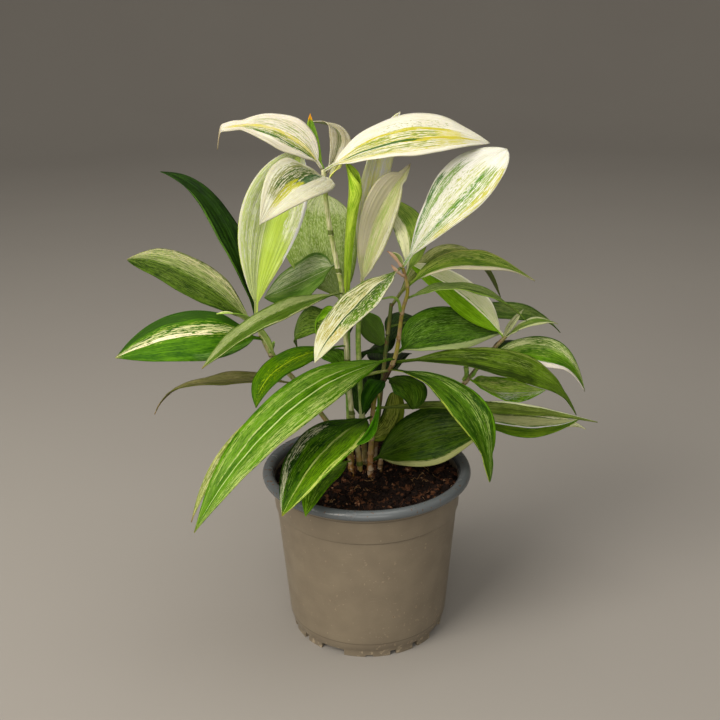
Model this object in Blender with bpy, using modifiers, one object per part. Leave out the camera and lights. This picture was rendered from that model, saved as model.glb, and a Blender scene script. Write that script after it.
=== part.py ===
"""Potted gold dust dracaena: a nursery pot, its soil, seven canes, their spears and leaves.

Sizes and places in the tables are millimetres. The origin is the middle of the pot's foot on
the floor, +Z is up, +X is the plant's right and -Y its front.
"""

import math
from typing import NamedTuple

import bmesh
import bpy
from mathutils import Matrix, Vector, noise

MM = 0.001
GAP = 0.3

# The pot: a thin pressed wall, a rolled rim, a stacking step and a notched foot ring.
POT_HEIGHT = 100.0
RIM_RADIUS = 60.0
RIM_DEPTH = 4.8
NECK_RADIUS = 54.2
STEP_HEIGHT = 77.5
STEP_RADIUS = 52.3
HEEL_HEIGHT = 12.0
HEEL_RADIUS = 46.9
FOOT_RADIUS = 44.7
FOOT_WIDTH = 2.4
FOOT_HEIGHT = 4.0
WALL = 1.3
POT_STEPS = 48
# Foot notches: angle of the middle from the front, angle across, height.
FOOT_NOTCHES = ((-27.5, 19.0, 3.8), (0.7, 6.0, 1.2), (18.6, 5.0, 3.0), (37.0, 5.0, 3.8))
QUARTERS = 4
DRAIN_COUNT = 8
DRAIN_RADIUS = 3.5
DRAIN_CIRCLE = 34.0
HOLE_SIDES = 12

SOIL_HEIGHT = 92.5
SOIL_ROUGHNESS = 2.0
SOIL_LUMP = 9.0
ROOT_DEPTH = 70.0
COLLAR_HEIGHT = 97.0

# Leaves: blade thickness, stalk and tip widths, and the mesh that a blade is made of.
BLADE = 0.8
STALK_WIDTH = 2.6
STALK_GAP = 0.45
TIP_WIDTH = 0.9
STALK = 0.06
FULLNESS = 1.85
FOLD_END = 0.2
HOOK_START = 0.75
ROWS = 8
COLUMNS = 4


class Cane(NamedTuple):
    """A stem: its radius at the soil and the top, the points it passes, and its joints."""

    foot_radius: float
    top_radius: float
    path: tuple
    joints: tuple
    coat: str


CANES = {
    "front": Cane(1.9, 1.0, ((2, -2), (3, -3, 118), (5, -4, 143), (12, -5, 157), (17, -5, 170),
                             (20, -4, 192), (23, -4, 205), (20, -5, 219)), (108, 117, 163, 192), "cane"),
    "tall": Cane(1.9, 1.3, ((-4, 5), (-9, 3, 140), (-12, -1, 200), (-15, -2, 220),
                            (-19, -3, 245), (-21, -3, 270)), (130, 165, 200, 220, 245), "sheath"),
    "spear": Cane(1.8, 1.5, ((-9, 9), (-10, 9, 130), (-10, 8, 170), (-10, 5, 200)), (120, 150, 180),
                  "young"),
    "middle": Cane(1.8, 1.5, ((-1, 10), (-3, 10, 140), (-4, 9, 175), (-2, 8, 203)), (125, 155, 185),
                   "young"),
    "left": Cane(1.9, 1.3, ((-9, 0), (-13, 0, 112), (-38, 0, 150), (-52, -2, 168), (-60, -4, 190)),
                 (122, 150, 168), "cane"),
    "right": Cane(1.7, 1.2, ((8, 5), (13, 8, 108), (42, 17, 129), (58, 23, 141), (71, 27, 156),
                             (82, 30, 167)), (116, 141, 156), "cane"),
    "back": Cane(1.6, 1.1, ((5, 12), (8, 16, 130), (12, 20, 165), (15, 22, 190)), (120, 150, 172),
                 "young"),
}


class Leaf(NamedTuple):
    """A blade: the cane and height it leaves, its middle and tip, its width and how it lies."""

    cane: str
    height: float
    middle: tuple
    tip: tuple
    width: float
    coat: str
    roll: float = 0.0
    fold: float = 14.0
    widest: float = 0.45
    wave: float = 1.0
    hook: float = 0.0


LEAVES = {
    # The whorl at the head of the tall cane.
    "crown_left": Leaf("tall", 268, (-46, 0, 289), (-78, 4, 292), 22, "cream", roll=-35,
                       widest=0.38, hook=11),
    "crown_right": Leaf("tall", 267, (22, 4, 285), (67, 14, 280), 35, "cream", roll=28, fold=10, widest=0.5),
    "crown_front": Leaf("tall", 264, (-35, -38, 272), (-49, -62, 254), 34, "cream", roll=-25,
                        widest=0.4),
    "crown_back": Leaf("tall", 265, (-13, 18, 285), (-30, 32, 290), 14, "cream", roll=20, fold=20),
    "crown_bud": Leaf("tall", 270, (-26, 13, 283), (-28, 18, 296), 6, "young", fold=40, wave=0),
    # Leaves on the tall cane.
    "tall_back": Leaf("tall", 196, (-27, 42, 221), (-25, 66, 243), 42, "grey", fold=10, widest=0.55),
    "tall_left": Leaf("tall", 219, (-35, 12, 207), (-57, 22, 194), 28, "grey", roll=-45),
    "tall_front": Leaf("tall", 203, (-48, -48, 204), (-77, -82, 190), 14, "edged", roll=-15, fold=20),
    "tall_low": Leaf("tall", 172, (-44, -26, 170), (-57, -44, 154), 23, "bright"),
    "tall_narrow": Leaf("tall", 192, (-24, 3, 189), (-27, 6, 175), 9, "bright", roll=-30),
    "tall_hanging": Leaf("tall", 182, (-36, 32, 175), (-40, 42, 153), 20, "grey", roll=-60),
    "spear_rear": Leaf("spear", 168, (-20, 56, 176), (-32, 89, 150), 26, "dark"),
    # The whorl and the lower leaves of the left cane.
    "left_upright": Leaf("left", 190, (-52, 0, 237), (-33, 4, 279), 36, "fresh", roll=80, fold=24,
                         widest=0.6),
    "left_back": Leaf("left", 188, (-82, 30, 240), (-115, 45, 262), 18, "dark"),
    "left_arch": Leaf("left", 184, (-95, 6, 210), (-132, 18, 220), 30, "streaked", roll=-20,
                      widest=0.52, hook=2),
    "left_broad": Leaf("left", 178, (-91, -26, 187), (-129, -38, 180), 32, "banded", roll=-40, fold=10),
    "left_edge": Leaf("left", 165, (-60, -24, 194), (-76, -34, 202), 10, "edged", wave=0.5),
    "left_low": Leaf("left", 150, (-92, 10, 148), (-125, 22, 128), 18, "olive", widest=0.35, hook=5),
    # The head and the upper leaves of the front cane.
    "front_up": Leaf("front", 218, (46, -6, 254), (75, 6, 278), 32, "cream", roll=38, widest=0.6),
    "front_speckled": Leaf("front", 214, (-7, -38, 204), (-25, -62, 185), 23, "speckled"),
    "front_rear": Leaf("front", 213, (25, 12, 235), (7, 38, 247), 18, "dark", roll=-20),
    "front_arch": Leaf("front", 207, (54, 2, 219), (94, 12, 205), 21, "dark", roll=15, fold=18, widest=0.5),
    "front_flat": Leaf("front", 200, (57, 6, 202), (90, 8, 183), 20, "green", fold=18),
    # The whorl at the knee of the front cane.
    "knee_long": Leaf("front", 166, (-39, -56, 157), (-85, -90, 109), 28, "striped", roll=-18, hook=2),
    "knee_right": Leaf("front", 160, (50, -36, 153), (63, -62, 119), 24, "green", widest=0.58),
    "knee_far": Leaf("front", 164, (75, -4, 161), (123, 8, 127), 24, "olive", roll=25, widest=0.6),
    "knee_broad": Leaf("front", 169, (46, 16, 176), (81, 38, 166), 36, "green", roll=25, fold=10),
    "knee_hanging": Leaf("front", 155, (23, -14, 152), (25, -22, 144), 17, "dark"),
    "knee_drop": Leaf("front", 153, (4, -14, 152), (-2, -18, 139), 13, "dark"),
    # Leaves near the soil.
    "low_front": Leaf("front", 131, (-23, -48, 131), (-43, -74, 107), 35, "dark"),
    "low_long": Leaf("front", 136, (67, -8, 138), (132, 2, 124), 18, "edged", roll=10),
    "low_right": Leaf("front", 103, (37, -6, 120), (69, -10, 126), 36, "green", roll=45, fold=10),
    "low_left": Leaf("left", 102, (-24, -40, 111), (-32, -62, 100), 17, "dark"),
    "low_upright": Leaf("middle", 112, (13, 8, 121), (16, 10, 140), 10, "grey", roll=80),
    "low_rear": Leaf("middle", 118, (-4, 52, 135), (-8, 87, 118), 28, "dark"),
    # The whorl and the lower leaves of the right cane.
    "right_inward": Leaf("right", 166, (56, 30, 191), (24, 24, 213), 22, "fresh", roll=-60),
    "right_small": Leaf("right", 167, (97, 30, 175), (113, 36, 172), 12, "edged", wave=0.5),
    "right_arch": Leaf("right", 150, (101, 23, 159), (127, 17, 143), 28, "streaked", roll=20, hook=6),
    "right_under": Leaf("right", 143, (81, 32, 132), (109, 42, 128), 24, "green", roll=20),
    "right_low": Leaf("right", 131, (87, 12, 117), (125, 18, 119), 20, "streaked", roll=15),
    "right_last": Leaf("right", 126, (105, 34, 112), (134, 37, 104), 18, "olive"),
    "right_rear": Leaf("right", 154, (99, 62, 150), (112, 88, 122), 24, "dark"),
    # Leaves of the middle cane and the back cane.
    "middle_fold": Leaf("middle", 203, (6, 10, 239), (26, 16, 270), 26, "pale", roll=80, fold=40,
                        widest=0.6),
    "middle_tall": Leaf("middle", 199, (5, 20, 260), (20, 32, 295), 21, "pale", roll=80, fold=25),
    "back_arch": Leaf("back", 188, (53, 54, 212), (83, 66, 180), 19, "dark", roll=10),
    "back_long": Leaf("back", 176, (84, 56, 174), (120, 62, 158), 20, "dark", roll=15),
    "back_round": Leaf("back", 165, (30, 46, 172), (47, 72, 152), 32, "dark"),
    "back_inner": Leaf("back", 158, (7, 34, 160), (-4, 46, 146), 24, "dark", roll=-20),
    "back_rear": Leaf("back", 143, (15, 60, 146), (20, 89, 124), 28, "dark"),
}

SPEAR_PATH = ((-10, 5, 200.6), (-9, 5, 225), (-7, 4, 248), (-5, 4, 262), (-5, 4, 271))
SPEAR_RADII = (1.4, 2.2, 3.3, 3.4, 1.0)

# Colours as linear red, green and blue, with a roughness.
COATS = {
    "pot": ((0.17, 0.14, 0.10), 0.45),
    "soil": ((0.030, 0.016, 0.010), 0.95),
    "cane": ((0.17, 0.14, 0.05), 0.6),
    "sheath": ((0.45, 0.42, 0.26), 0.6),
    "young": ((0.22, 0.36, 0.05), 0.5),
    "cream": ((0.72, 0.70, 0.50), 0.5),
    "pale": ((0.52, 0.55, 0.34), 0.5),
    "fresh": ((0.25, 0.40, 0.10), 0.5),
    "speckled": ((0.50, 0.50, 0.16), 0.5),
    "striped": ((0.13, 0.28, 0.04), 0.45),
    "streaked": ((0.16, 0.26, 0.08), 0.45),
    "banded": ((0.14, 0.30, 0.07), 0.45),
    "edged": ((0.22, 0.30, 0.12), 0.45),
    "bright": ((0.10, 0.28, 0.01), 0.45),
    "green": ((0.06, 0.16, 0.02), 0.45),
    "grey": ((0.12, 0.20, 0.09), 0.5),
    "olive": ((0.12, 0.15, 0.04), 0.45),
    "dark": ((0.03, 0.08, 0.02), 0.45),
}


def clear_scene():
    """Remove every object that is already in the file."""
    for old in list(bpy.data.objects):
        bpy.data.objects.remove(old, do_unlink=True)


def new_collection(name):
    """Add a collection under the scene and return it."""
    collection = bpy.data.collections.new(name)
    bpy.context.scene.collection.children.link(collection)
    return collection


def coat_material(name):
    """Return the plain material of a coat, made at its first use."""
    material = bpy.data.materials.get(name)
    if material is None:
        colour, roughness = COATS[name]
        material = bpy.data.materials.new(name)
        material.use_nodes = True
        shader = material.node_tree.nodes["Principled BSDF"]
        shader.inputs["Base Color"].default_value = (*colour, 1.0)
        shader.inputs["Roughness"].default_value = roughness
        material.diffuse_color = (*colour, 1.0)
    return material


def add_object(name, data, collection, coat=None):
    """Put a mesh or a curve in the scene as a named object."""
    item = bpy.data.objects.new(name, data)
    collection.objects.link(item)
    if coat:
        data.materials.append(coat_material(coat))
    return item


def mesh_of(item):
    """Return an object's mesh with its modifiers applied."""
    bpy.context.view_layer.update()
    graph = bpy.context.evaluated_depsgraph_get()
    return bpy.data.meshes.new_from_object(item.evaluated_get(graph))


def turned_mesh(name, profile, collection, steps):
    """Turn a profile of (radius, height) points about Z and return the mesh."""
    shape = bmesh.new()
    corners = [shape.verts.new((radius * MM, 0.0, height * MM)) for radius, height in profile]
    for lower, upper in zip(corners, corners[1:]):
        shape.edges.new((lower, upper))
    outline = bpy.data.meshes.new(name)
    shape.to_mesh(outline)
    shape.free()
    item = add_object(name, outline, collection)
    screw = item.modifiers.new("Turn", "SCREW")
    screw.steps = screw.render_steps = steps
    screw.use_merge_vertices = True
    screw.merge_threshold = 0.00001
    mesh = mesh_of(item)
    bpy.data.objects.remove(item)
    return mesh


def shade_round(mesh, angle=35.0):
    """Shade a mesh smooth, except across edges sharper than an angle."""
    mesh.shade_smooth()
    mesh.set_sharp_from_angle(angle=math.radians(angle))


def cut(item, cutter):
    """Cut one closed object out of another with a live Boolean."""
    cutter.hide_render = True
    cutter.display_type = "WIRE"
    boolean = item.modifiers.new("Cut " + cutter.name, "BOOLEAN")
    boolean.object = cutter
    boolean.operation = "DIFFERENCE"
    boolean.solver = "EXACT"


def join_cutters(name, pieces, collection):
    """Join separate closed pieces, which touch nowhere, into one cutter."""
    shape = bmesh.new()
    for piece in pieces:
        shape.from_mesh(piece)
    mesh = bpy.data.meshes.new(name)
    shape.to_mesh(mesh)
    shape.free()
    return add_object(name, mesh, collection)


def upright_cylinder(x, y, radius, bottom, top, sides):
    """Return the mesh of a cylinder that stands along Z."""
    shape = bmesh.new()
    middle = Matrix.Translation(Vector((x, y, (bottom + top) / 2)) * MM)
    bmesh.ops.create_cone(shape, cap_ends=True, segments=sides, radius1=radius * MM,
                          radius2=radius * MM, depth=(top - bottom) * MM, matrix=middle)
    mesh = bpy.data.meshes.new("Cylinder")
    shape.to_mesh(mesh)
    shape.free()
    return mesh


def block(size, place):
    """Return the mesh of a box with a size, put where a matrix says."""
    shape = bmesh.new()
    scale = Matrix.Diagonal((*(Vector(size) * MM), 1.0))
    bmesh.ops.create_cube(shape, size=1.0, matrix=place @ scale)
    mesh = bpy.data.meshes.new("Block")
    shape.to_mesh(mesh)
    shape.free()
    return mesh


def outer_wall():
    """Return the pot's outer wall as (radius, height) points, from the neck down to the heel."""
    return [
        (NECK_RADIUS, POT_HEIGHT - RIM_DEPTH),
        (STEP_RADIUS + 0.9, STEP_HEIGHT + 1.0),
        (STEP_RADIUS, STEP_HEIGHT),
        (HEEL_RADIUS, HEEL_HEIGHT),
        (HEEL_RADIUS - 0.6, HEEL_HEIGHT - 4.5),
        (HEEL_RADIUS - 1.6, FOOT_HEIGHT + 0.8),
        (FOOT_RADIUS, FOOT_HEIGHT),
    ]


def inner_radius(height, clearance):
    """Return the radius inside the pot's wall at a height, less a clearance."""
    wall = outer_wall()
    for (upper, top), (lower, bottom) in zip(wall, wall[1:]):
        if bottom <= height <= top:
            share = (height - bottom) / (top - bottom)
            return lower + (upper - lower) * share - WALL - clearance
    return wall[0][0] - WALL - clearance


def inner_wall(floor, top, clearance):
    """Return points up the inside of the wall, from the floor's edge to a height."""
    heights = [floor, HEEL_HEIGHT - 2.0, HEEL_HEIGHT, STEP_HEIGHT, STEP_HEIGHT + 1.0, top]
    points = [(inner_radius(height, clearance), height) for height in heights[1:]]
    first = points[0][0] - 2.2
    return [(first, floor)] + points


def build_pot(collection, cutters):
    """Build the pot: floor, wall, rolled rim, foot ring, its notches and the drain holes."""
    floor = FOOT_HEIGHT + WALL
    neck = POT_HEIGHT - RIM_DEPTH
    rim = [
        (NECK_RADIUS - WALL, neck + 1.0),
        (NECK_RADIUS - WALL + 0.5, POT_HEIGHT - 1.0),
        (NECK_RADIUS + 0.4, POT_HEIGHT - 0.2),
        (NECK_RADIUS + 2.6, POT_HEIGHT),
        (RIM_RADIUS - 1.2, POT_HEIGHT - 0.5),
        (RIM_RADIUS - 0.2, POT_HEIGHT - 1.6),
        (RIM_RADIUS, POT_HEIGHT - 3.0),
        (RIM_RADIUS - 0.7, neck),
        (NECK_RADIUS + 1.2, neck - 0.2),
    ]
    foot = [
        (FOOT_RADIUS, 0.0),
        (FOOT_RADIUS - FOOT_WIDTH, 0.0),
        (FOOT_RADIUS - FOOT_WIDTH, FOOT_HEIGHT),
        (0.0, FOOT_HEIGHT),
    ]
    below_rim = [(NECK_RADIUS, neck - 1.0)] + outer_wall()[1:]
    profile = [(0.0, floor)] + inner_wall(floor, neck - 2.0, 0.0) + rim + below_rim + foot
    mesh = turned_mesh("pot", profile, collection, POT_STEPS)
    shade_round(mesh)
    pot = add_object("pot", mesh, collection, "pot")

    notches = []
    for quarter in range(QUARTERS):
        for middle, across, height in FOOT_NOTCHES:
            turn = Matrix.Rotation(math.radians(middle + 90.0 * quarter), 4, "Z")
            width = 2.0 * FOOT_RADIUS * math.sin(math.radians(across / 2))
            shift = Matrix.Translation(Vector((0.0, 1.0 - FOOT_RADIUS, height / 2 - 1.0)) * MM)
            notches.append(block((width, FOOT_WIDTH + 4.0, height + 2.0), turn @ shift))
    cut(pot, join_cutters("foot_notches", notches, cutters))

    drains = []
    for turn in range(DRAIN_COUNT):
        angle = 2.0 * math.pi * (turn + 0.5) / DRAIN_COUNT
        x = DRAIN_CIRCLE * math.cos(angle)
        y = DRAIN_CIRCLE * math.sin(angle)
        drains.append(upright_cylinder(x, y, DRAIN_RADIUS, FOOT_HEIGHT - 1.0, floor + 1.0, HOLE_SIDES))
    cut(pot, join_cutters("drain_holes", drains, cutters))
    return pot


def build_soil(collection, cutters):
    """Build the soil: it fills the pot, is lumpy on top, and has a plain hole for each cane."""
    floor = FOOT_HEIGHT + WALL + GAP
    side = inner_wall(floor, SOIL_HEIGHT, 1.5 * GAP)
    edge = side[-1][0]
    rings = 6
    top = [(edge * (rings - ring) / rings, SOIL_HEIGHT) for ring in range(1, rings)]
    profile = [(0.0, SOIL_HEIGHT)] + top[::-1] + side[::-1] + [(0.0, floor)]
    mesh = turned_mesh("soil", profile, collection, 32)
    for corner in mesh.vertices:
        if corner.co.z > (SOIL_HEIGHT - 1.0) * MM:
            flat = Vector((corner.co.x, corner.co.y, 0.0))
            lump = noise.noise(flat / (SOIL_LUMP * MM))
            bank = (1.0 - (flat.length / (edge * MM)) ** 2) * 1.2
            corner.co.z += (lump * SOIL_ROUGHNESS + bank) * MM
    soil = add_object("soil", mesh, collection, "soil")
    holes = []
    for cane in CANES.values():
        x, y = cane.path[0]
        radius = (cane.foot_radius + GAP) / math.cos(math.pi / HOLE_SIDES)
        holes.append(upright_cylinder(x, y, radius, ROOT_DEPTH - GAP, COLLAR_HEIGHT, HOLE_SIDES))
    cut(soil, join_cutters("cane_holes", holes, cutters))
    return soil


def full_path(cane):
    """Return a cane's points in space: upright out of the soil, then as its path says."""
    x, y = cane.path[0]
    points = [(x, y, ROOT_DEPTH), (x, y, COLLAR_HEIGHT)] + list(cane.path[1:])
    return [Vector(point) for point in points]


def smooth_point(points, place):
    """Return the point at a place, in spans, on a smooth curve through points."""
    span = min(int(place), len(points) - 2)
    t = place - span
    start, end = points[span], points[span + 1]
    before = points[span - 1] if span > 0 else 2.0 * start - end
    after = points[span + 2] if span + 2 < len(points) else 2.0 * end - start
    lift = (end - before) * 0.5
    land = (after - start) * 0.5
    return (start * (2 * t**3 - 3 * t**2 + 1) + lift * (t**3 - 2 * t**2 + t)
            + end * (3 * t**2 - 2 * t**3) + land * (t**3 - t**2))


def cane_point(cane, height):
    """Return the middle of a cane at a height, found by halving."""
    points = full_path(cane)
    low, high = 0.0, float(len(points) - 1)
    for _ in range(30):
        half = (low + high) / 2
        if smooth_point(points, half).z < height:
            low = half
        else:
            high = half
    return smooth_point(points, high)


def cane_radius(cane, height):
    """Return a cane's radius at a height, without its joints."""
    top = cane.path[-1][2]
    share = min(max((height - ROOT_DEPTH) / (top - ROOT_DEPTH), 0.0), 1.0)
    return cane.foot_radius + (cane.top_radius - cane.foot_radius) * share


def tube(name, stations, collection, coat):
    """Build a round stem through stations of (point, radius)."""
    curve = bpy.data.curves.new(name, "CURVE")
    curve.dimensions = "3D"
    curve.bevel_depth = MM
    curve.bevel_resolution = 2
    curve.use_fill_caps = True
    spline = curve.splines.new("POLY")
    spline.points.add(len(stations) - 1)
    for target, (place, radius) in zip(spline.points, stations):
        target.co = (*(place * MM), 1.0)
        target.radius = radius
    return add_object(name, curve, collection, coat)


def build_cane(name, cane, collection):
    """Build one cane, a little swollen at each of its joints."""
    top = cane.path[-1][2]
    heights = [ROOT_DEPTH, COLLAR_HEIGHT]
    step = 9.0
    while heights[-1] + step < top - 4.0:
        heights.append(heights[-1] + step)
    heights.append(top)
    swollen = {}
    for joint in cane.joints:
        nearest = min(range(2, len(heights) - 1), key=lambda i: abs(heights[i] - joint))
        heights[nearest] = float(joint)
        swollen[nearest] = 1.25
    stations = []
    for index, height in enumerate(heights):
        radius = cane_radius(cane, height) * swollen.get(index, 1.0)
        stations.append((cane_point(cane, height), radius))
    return tube("cane_" + name, stations, collection, cane.coat)


def blade_outline(place, widest):
    """Return a blade's width at a place from 0 to 1, as a share of its widest."""
    place = max(place - STALK, 0.0) / (1.0 - STALK)
    rise = FULLNESS * widest
    fall = FULLNESS * (1.0 - widest)
    return (place / widest) ** rise * ((1.0 - place) / (1.0 - widest)) ** fall


def blade_side(leaf, base, heading):
    """Return the way across a blade: level, then rolled about its heading."""
    heading = heading.normalized()
    level = Vector((0.0, 0.0, 1.0)).cross(Vector(leaf.tip) - base)
    side = (level - heading * level.dot(heading)).normalized()
    side.rotate(Matrix.Rotation(math.radians(leaf.roll), 3, heading))
    return side


def leaf_base(leaf):
    """Return where a leaf starts: on its cane's side, square to the cane, towards its middle."""
    cane = CANES[leaf.cane]
    centre = cane_point(cane, leaf.height)
    stem = (centre - cane_point(cane, leaf.height - 2.0)).normalized()
    outward = Vector(leaf.middle) - centre
    outward = (outward - stem * outward.dot(stem)).normalized()
    heading = (Vector(leaf.middle) - centre).normalized()
    side = blade_side(leaf, centre, heading)
    face = heading.cross(side)
    edge = abs(side.dot(outward)) * STALK_WIDTH / 2 + abs(face.dot(outward)) * BLADE / 2
    return centre + outward * (cane_radius(cane, leaf.height) + STALK_GAP + edge)


def blade_point(leaf, base, along, across):
    """Return a blade's point: along runs from base to tip, across from -1 to 1."""
    middle, tip = Vector(leaf.middle), Vector(leaf.tip)
    shoulder = 2.0 * middle - (base + tip) / 2
    near, far = base.lerp(shoulder, along), shoulder.lerp(tip, along)
    heading = (far - near).normalized()
    side = blade_side(leaf, base, heading)
    face = heading.cross(side)

    stalk = STALK_WIDTH + (TIP_WIDTH - STALK_WIDTH) * along
    half = max(leaf.width * blade_outline(along, leaf.widest), stalk) / 2
    fold = math.radians(leaf.fold) * min(along / FOLD_END, 1.0)
    out = abs(across) * half
    gutter = out * math.sin(fold) * (1.0 - 0.45 * abs(across))
    ripple = math.sin(math.tau * (1.6 * along + 0.15 * math.copysign(1.0, across)))
    wave = leaf.wave * ripple * across * across * half / (leaf.width / 2)
    place = near.lerp(far, along)
    place.z -= leaf.hook * (max(along - HOOK_START, 0.0) / (1.0 - HOOK_START)) ** 2
    return place + side * (across * half * math.cos(fold)) + face * (gutter + wave)


def build_leaf(name, leaf, collection):
    """Build one leaf: a grid bent to its blade, split alike on both faces, then thickened."""
    base = leaf_base(leaf)
    shape = bmesh.new()
    bmesh.ops.create_grid(shape, x_segments=ROWS, y_segments=COLUMNS, size=0.5)
    for corner in shape.verts:
        along = corner.co.x + 0.5
        across = corner.co.y * 2.0
        corner.co = blade_point(leaf, base, along, across) * MM
    bmesh.ops.triangulate(shape, faces=shape.faces)
    mesh = bpy.data.meshes.new("leaf_" + name)
    shape.to_mesh(mesh)
    shape.free()
    mesh.shade_smooth()
    item = add_object("leaf_" + name, mesh, collection, leaf.coat)
    skin = item.modifiers.new("Blade", "SOLIDIFY")
    skin.thickness = BLADE * MM
    skin.offset = 0.0
    return item


def main():
    """Build the whole plant in its pot."""
    clear_scene()
    parts = new_collection("potted_gold_dust_dracaena")
    cutters = new_collection("cutters")
    build_pot(parts, cutters)
    build_soil(parts, cutters)
    for name, cane in CANES.items():
        build_cane(name, cane, parts)
    spear = [(Vector(place), radius) for place, radius in zip(SPEAR_PATH, SPEAR_RADII)]
    tube("leaf_spear", spear, parts, "young")
    for name, leaf in LEAVES.items():
        build_leaf(name, leaf, parts)


main()
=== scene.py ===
"""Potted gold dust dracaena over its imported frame: the pot, its soil, the canes and the leaves.

Sizes in the tables are millimetres. +Z is up, +X is the plant's right and -Y its front.
"""

import logging
import math
import random
from collections.abc import Callable
from dataclasses import dataclass
from enum import Enum

import bpy
from mathutils import Matrix, Vector, noise


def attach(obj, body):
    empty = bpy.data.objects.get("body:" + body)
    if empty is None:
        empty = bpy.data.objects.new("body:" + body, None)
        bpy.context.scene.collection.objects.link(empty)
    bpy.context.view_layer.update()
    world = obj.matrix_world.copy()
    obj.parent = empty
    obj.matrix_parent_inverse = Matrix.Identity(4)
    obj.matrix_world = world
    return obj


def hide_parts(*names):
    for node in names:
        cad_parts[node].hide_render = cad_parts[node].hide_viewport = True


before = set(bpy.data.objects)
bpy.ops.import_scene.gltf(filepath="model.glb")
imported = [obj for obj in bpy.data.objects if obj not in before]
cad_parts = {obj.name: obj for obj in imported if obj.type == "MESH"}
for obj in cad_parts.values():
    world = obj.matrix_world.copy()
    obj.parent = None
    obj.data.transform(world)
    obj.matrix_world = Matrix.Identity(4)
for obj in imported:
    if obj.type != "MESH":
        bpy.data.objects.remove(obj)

LOG = logging.getLogger("dracaena")
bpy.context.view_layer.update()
MM = 0.001
UP = Vector((0.0, 0.0, 1.0))
BODY = "root"

Piece = bpy.types.Object
Material = bpy.types.Material
Tree = bpy.types.NodeTree
Socket = bpy.types.NodeSocket


def linear(code: str) -> tuple[float, float, float, float]:
    """Turn an sRGB hex colour into linear light.

    Args:
        code: The colour as "#RRGGBB".

    Returns:
        Red, green, blue and an alpha of 1.
    """
    shares = [int(code[i:i + 2], 16) / 255.0 for i in (1, 3, 5)]
    red, green, blue = (
        share / 12.92 if share <= 0.04045 else ((share + 0.055) / 1.055) ** 2.4
        for share in shares
    )
    return red, green, blue, 1.0


def add_node(tree: Tree, kind: str, inputs: dict | None = None, output: int | str = 0,
             **settings: object) -> Socket | None:
    """Add a node with its settings, values and links.

    Args:
        tree: The node tree that it joins.
        kind: The node's type after "ShaderNode", such as "Math".
        inputs: A socket to link, or a value to set, for each input by index or name.
        output: The output that is wanted.
        **settings: Properties of the node.

    Returns:
        The output's socket, or None for a node that has no output.
    """
    node = tree.nodes.new("ShaderNode" + kind)
    for key, value in settings.items():
        setattr(node, key, value)
    for key, value in (inputs or {}).items():
        if isinstance(value, Socket):
            tree.links.new(value, node.inputs[key])
        else:
            node.inputs[key].default_value = value
    return node.outputs[output] if len(node.outputs) else None


def new_material(name: str) -> tuple[Material, Tree]:
    """Make an empty node material.

    Args:
        name: The material's name.

    Returns:
        The material and its tree.
    """
    material = bpy.data.materials.new(name)
    material.use_nodes = True
    material.node_tree.nodes.clear()
    return material, material.node_tree


def close_material(tree: Tree, ground: str, layers: list[tuple[Socket, str]], linked: dict,
                   **constants: object) -> None:
    """Lay a material's colours over each other, and add its shader and its output.

    Args:
        tree: The material's tree.
        ground: The lowest colour.
        layers: The mask and the colour of each layer above it, from the lowest up.
        linked: The shader's other linked sockets, by name.
        **constants: The shader's own values, with _ for a space in a name.
    """
    colour = linear(ground)
    for mask, tint in layers:
        colour = add_node(tree, "Mix", {0: mask, 6: colour, 7: linear(tint)}, output=2, data_type="RGBA")
    values = {key.replace("_", " "): value for key, value in constants.items()}
    shader = add_node(tree, "BsdfPrincipled", {"Base Color": colour, **linked, **values})
    add_node(tree, "OutputMaterial", {"Surface": shader})


def deselect() -> None:
    """Leave edit mode and deselect everything."""
    if bpy.context.mode != "OBJECT":
        bpy.ops.object.mode_set(mode="OBJECT")
    bpy.ops.object.select_all(action="DESELECT")


def focus(piece: Piece) -> None:
    """Make one piece the only selected and active one.

    Args:
        piece: The piece.
    """
    deselect()
    piece.select_set(True)
    bpy.context.view_layer.objects.active = piece


def apply_modifier(piece: Piece, kind: str, **settings: object) -> None:
    """Add a modifier and apply it.

    Args:
        piece: The object to change.
        kind: The modifier's type, such as "SOLIDIFY".
        **settings: The modifier's properties.
    """
    focus(piece)
    modifier = piece.modifiers.new(kind.title(), kind)
    for key, value in settings.items():
        setattr(modifier, key, value)
    bpy.ops.object.modifier_apply(modifier=modifier.name)


def join_pieces(name: str, pieces: list[Piece]) -> Piece:
    """Join several meshes into one piece, with its place in its mesh.

    Args:
        name: The joined piece's name.
        pieces: The meshes to join.

    Returns:
        The joined piece.
    """
    deselect()
    for piece in pieces:
        piece.select_set(True)
    bpy.context.view_layer.objects.active = pieces[0]
    bpy.ops.object.join()
    piece = bpy.context.view_layer.objects.active
    bpy.ops.object.transform_apply(location=True, rotation=True, scale=True)
    piece.name = piece.data.name = name
    return piece


def draw_tubes(name: str, runs: list[list[tuple[Vector, float]]], resolution: int) -> Piece:
    """Draw round tubes through points and make them one mesh.

    Args:
        name: The piece's name.
        runs: The points of each tube, with the radius at each, in millimetres.
        resolution: How finely a tube is rounded, from 0.

    Returns:
        The tubes, closed at their ends, with their faces outwards.
    """
    deselect()
    bpy.ops.curve.primitive_bezier_curve_add()
    curve = bpy.context.object.data
    curve.splines.clear()
    curve.bevel_depth = MM
    curve.bevel_resolution = resolution
    curve.use_fill_caps = True
    for run in runs:
        spline = curve.splines.new("POLY")
        spline.points.add(len(run) - 1)
        for point, (place, radius) in zip(spline.points, run):
            point.co = (*(place * MM), 1.0)
            point.radius = radius
    bpy.ops.object.convert(target="MESH")
    piece = bpy.context.object
    piece.name = piece.data.name = name
    bpy.ops.object.mode_set(mode="EDIT")
    bpy.ops.mesh.select_all(action="SELECT")
    bpy.ops.mesh.remove_doubles(threshold=1e-6)
    bpy.ops.mesh.normals_make_consistent(inside=False)
    bpy.ops.object.mode_set(mode="OBJECT")
    return piece


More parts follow.
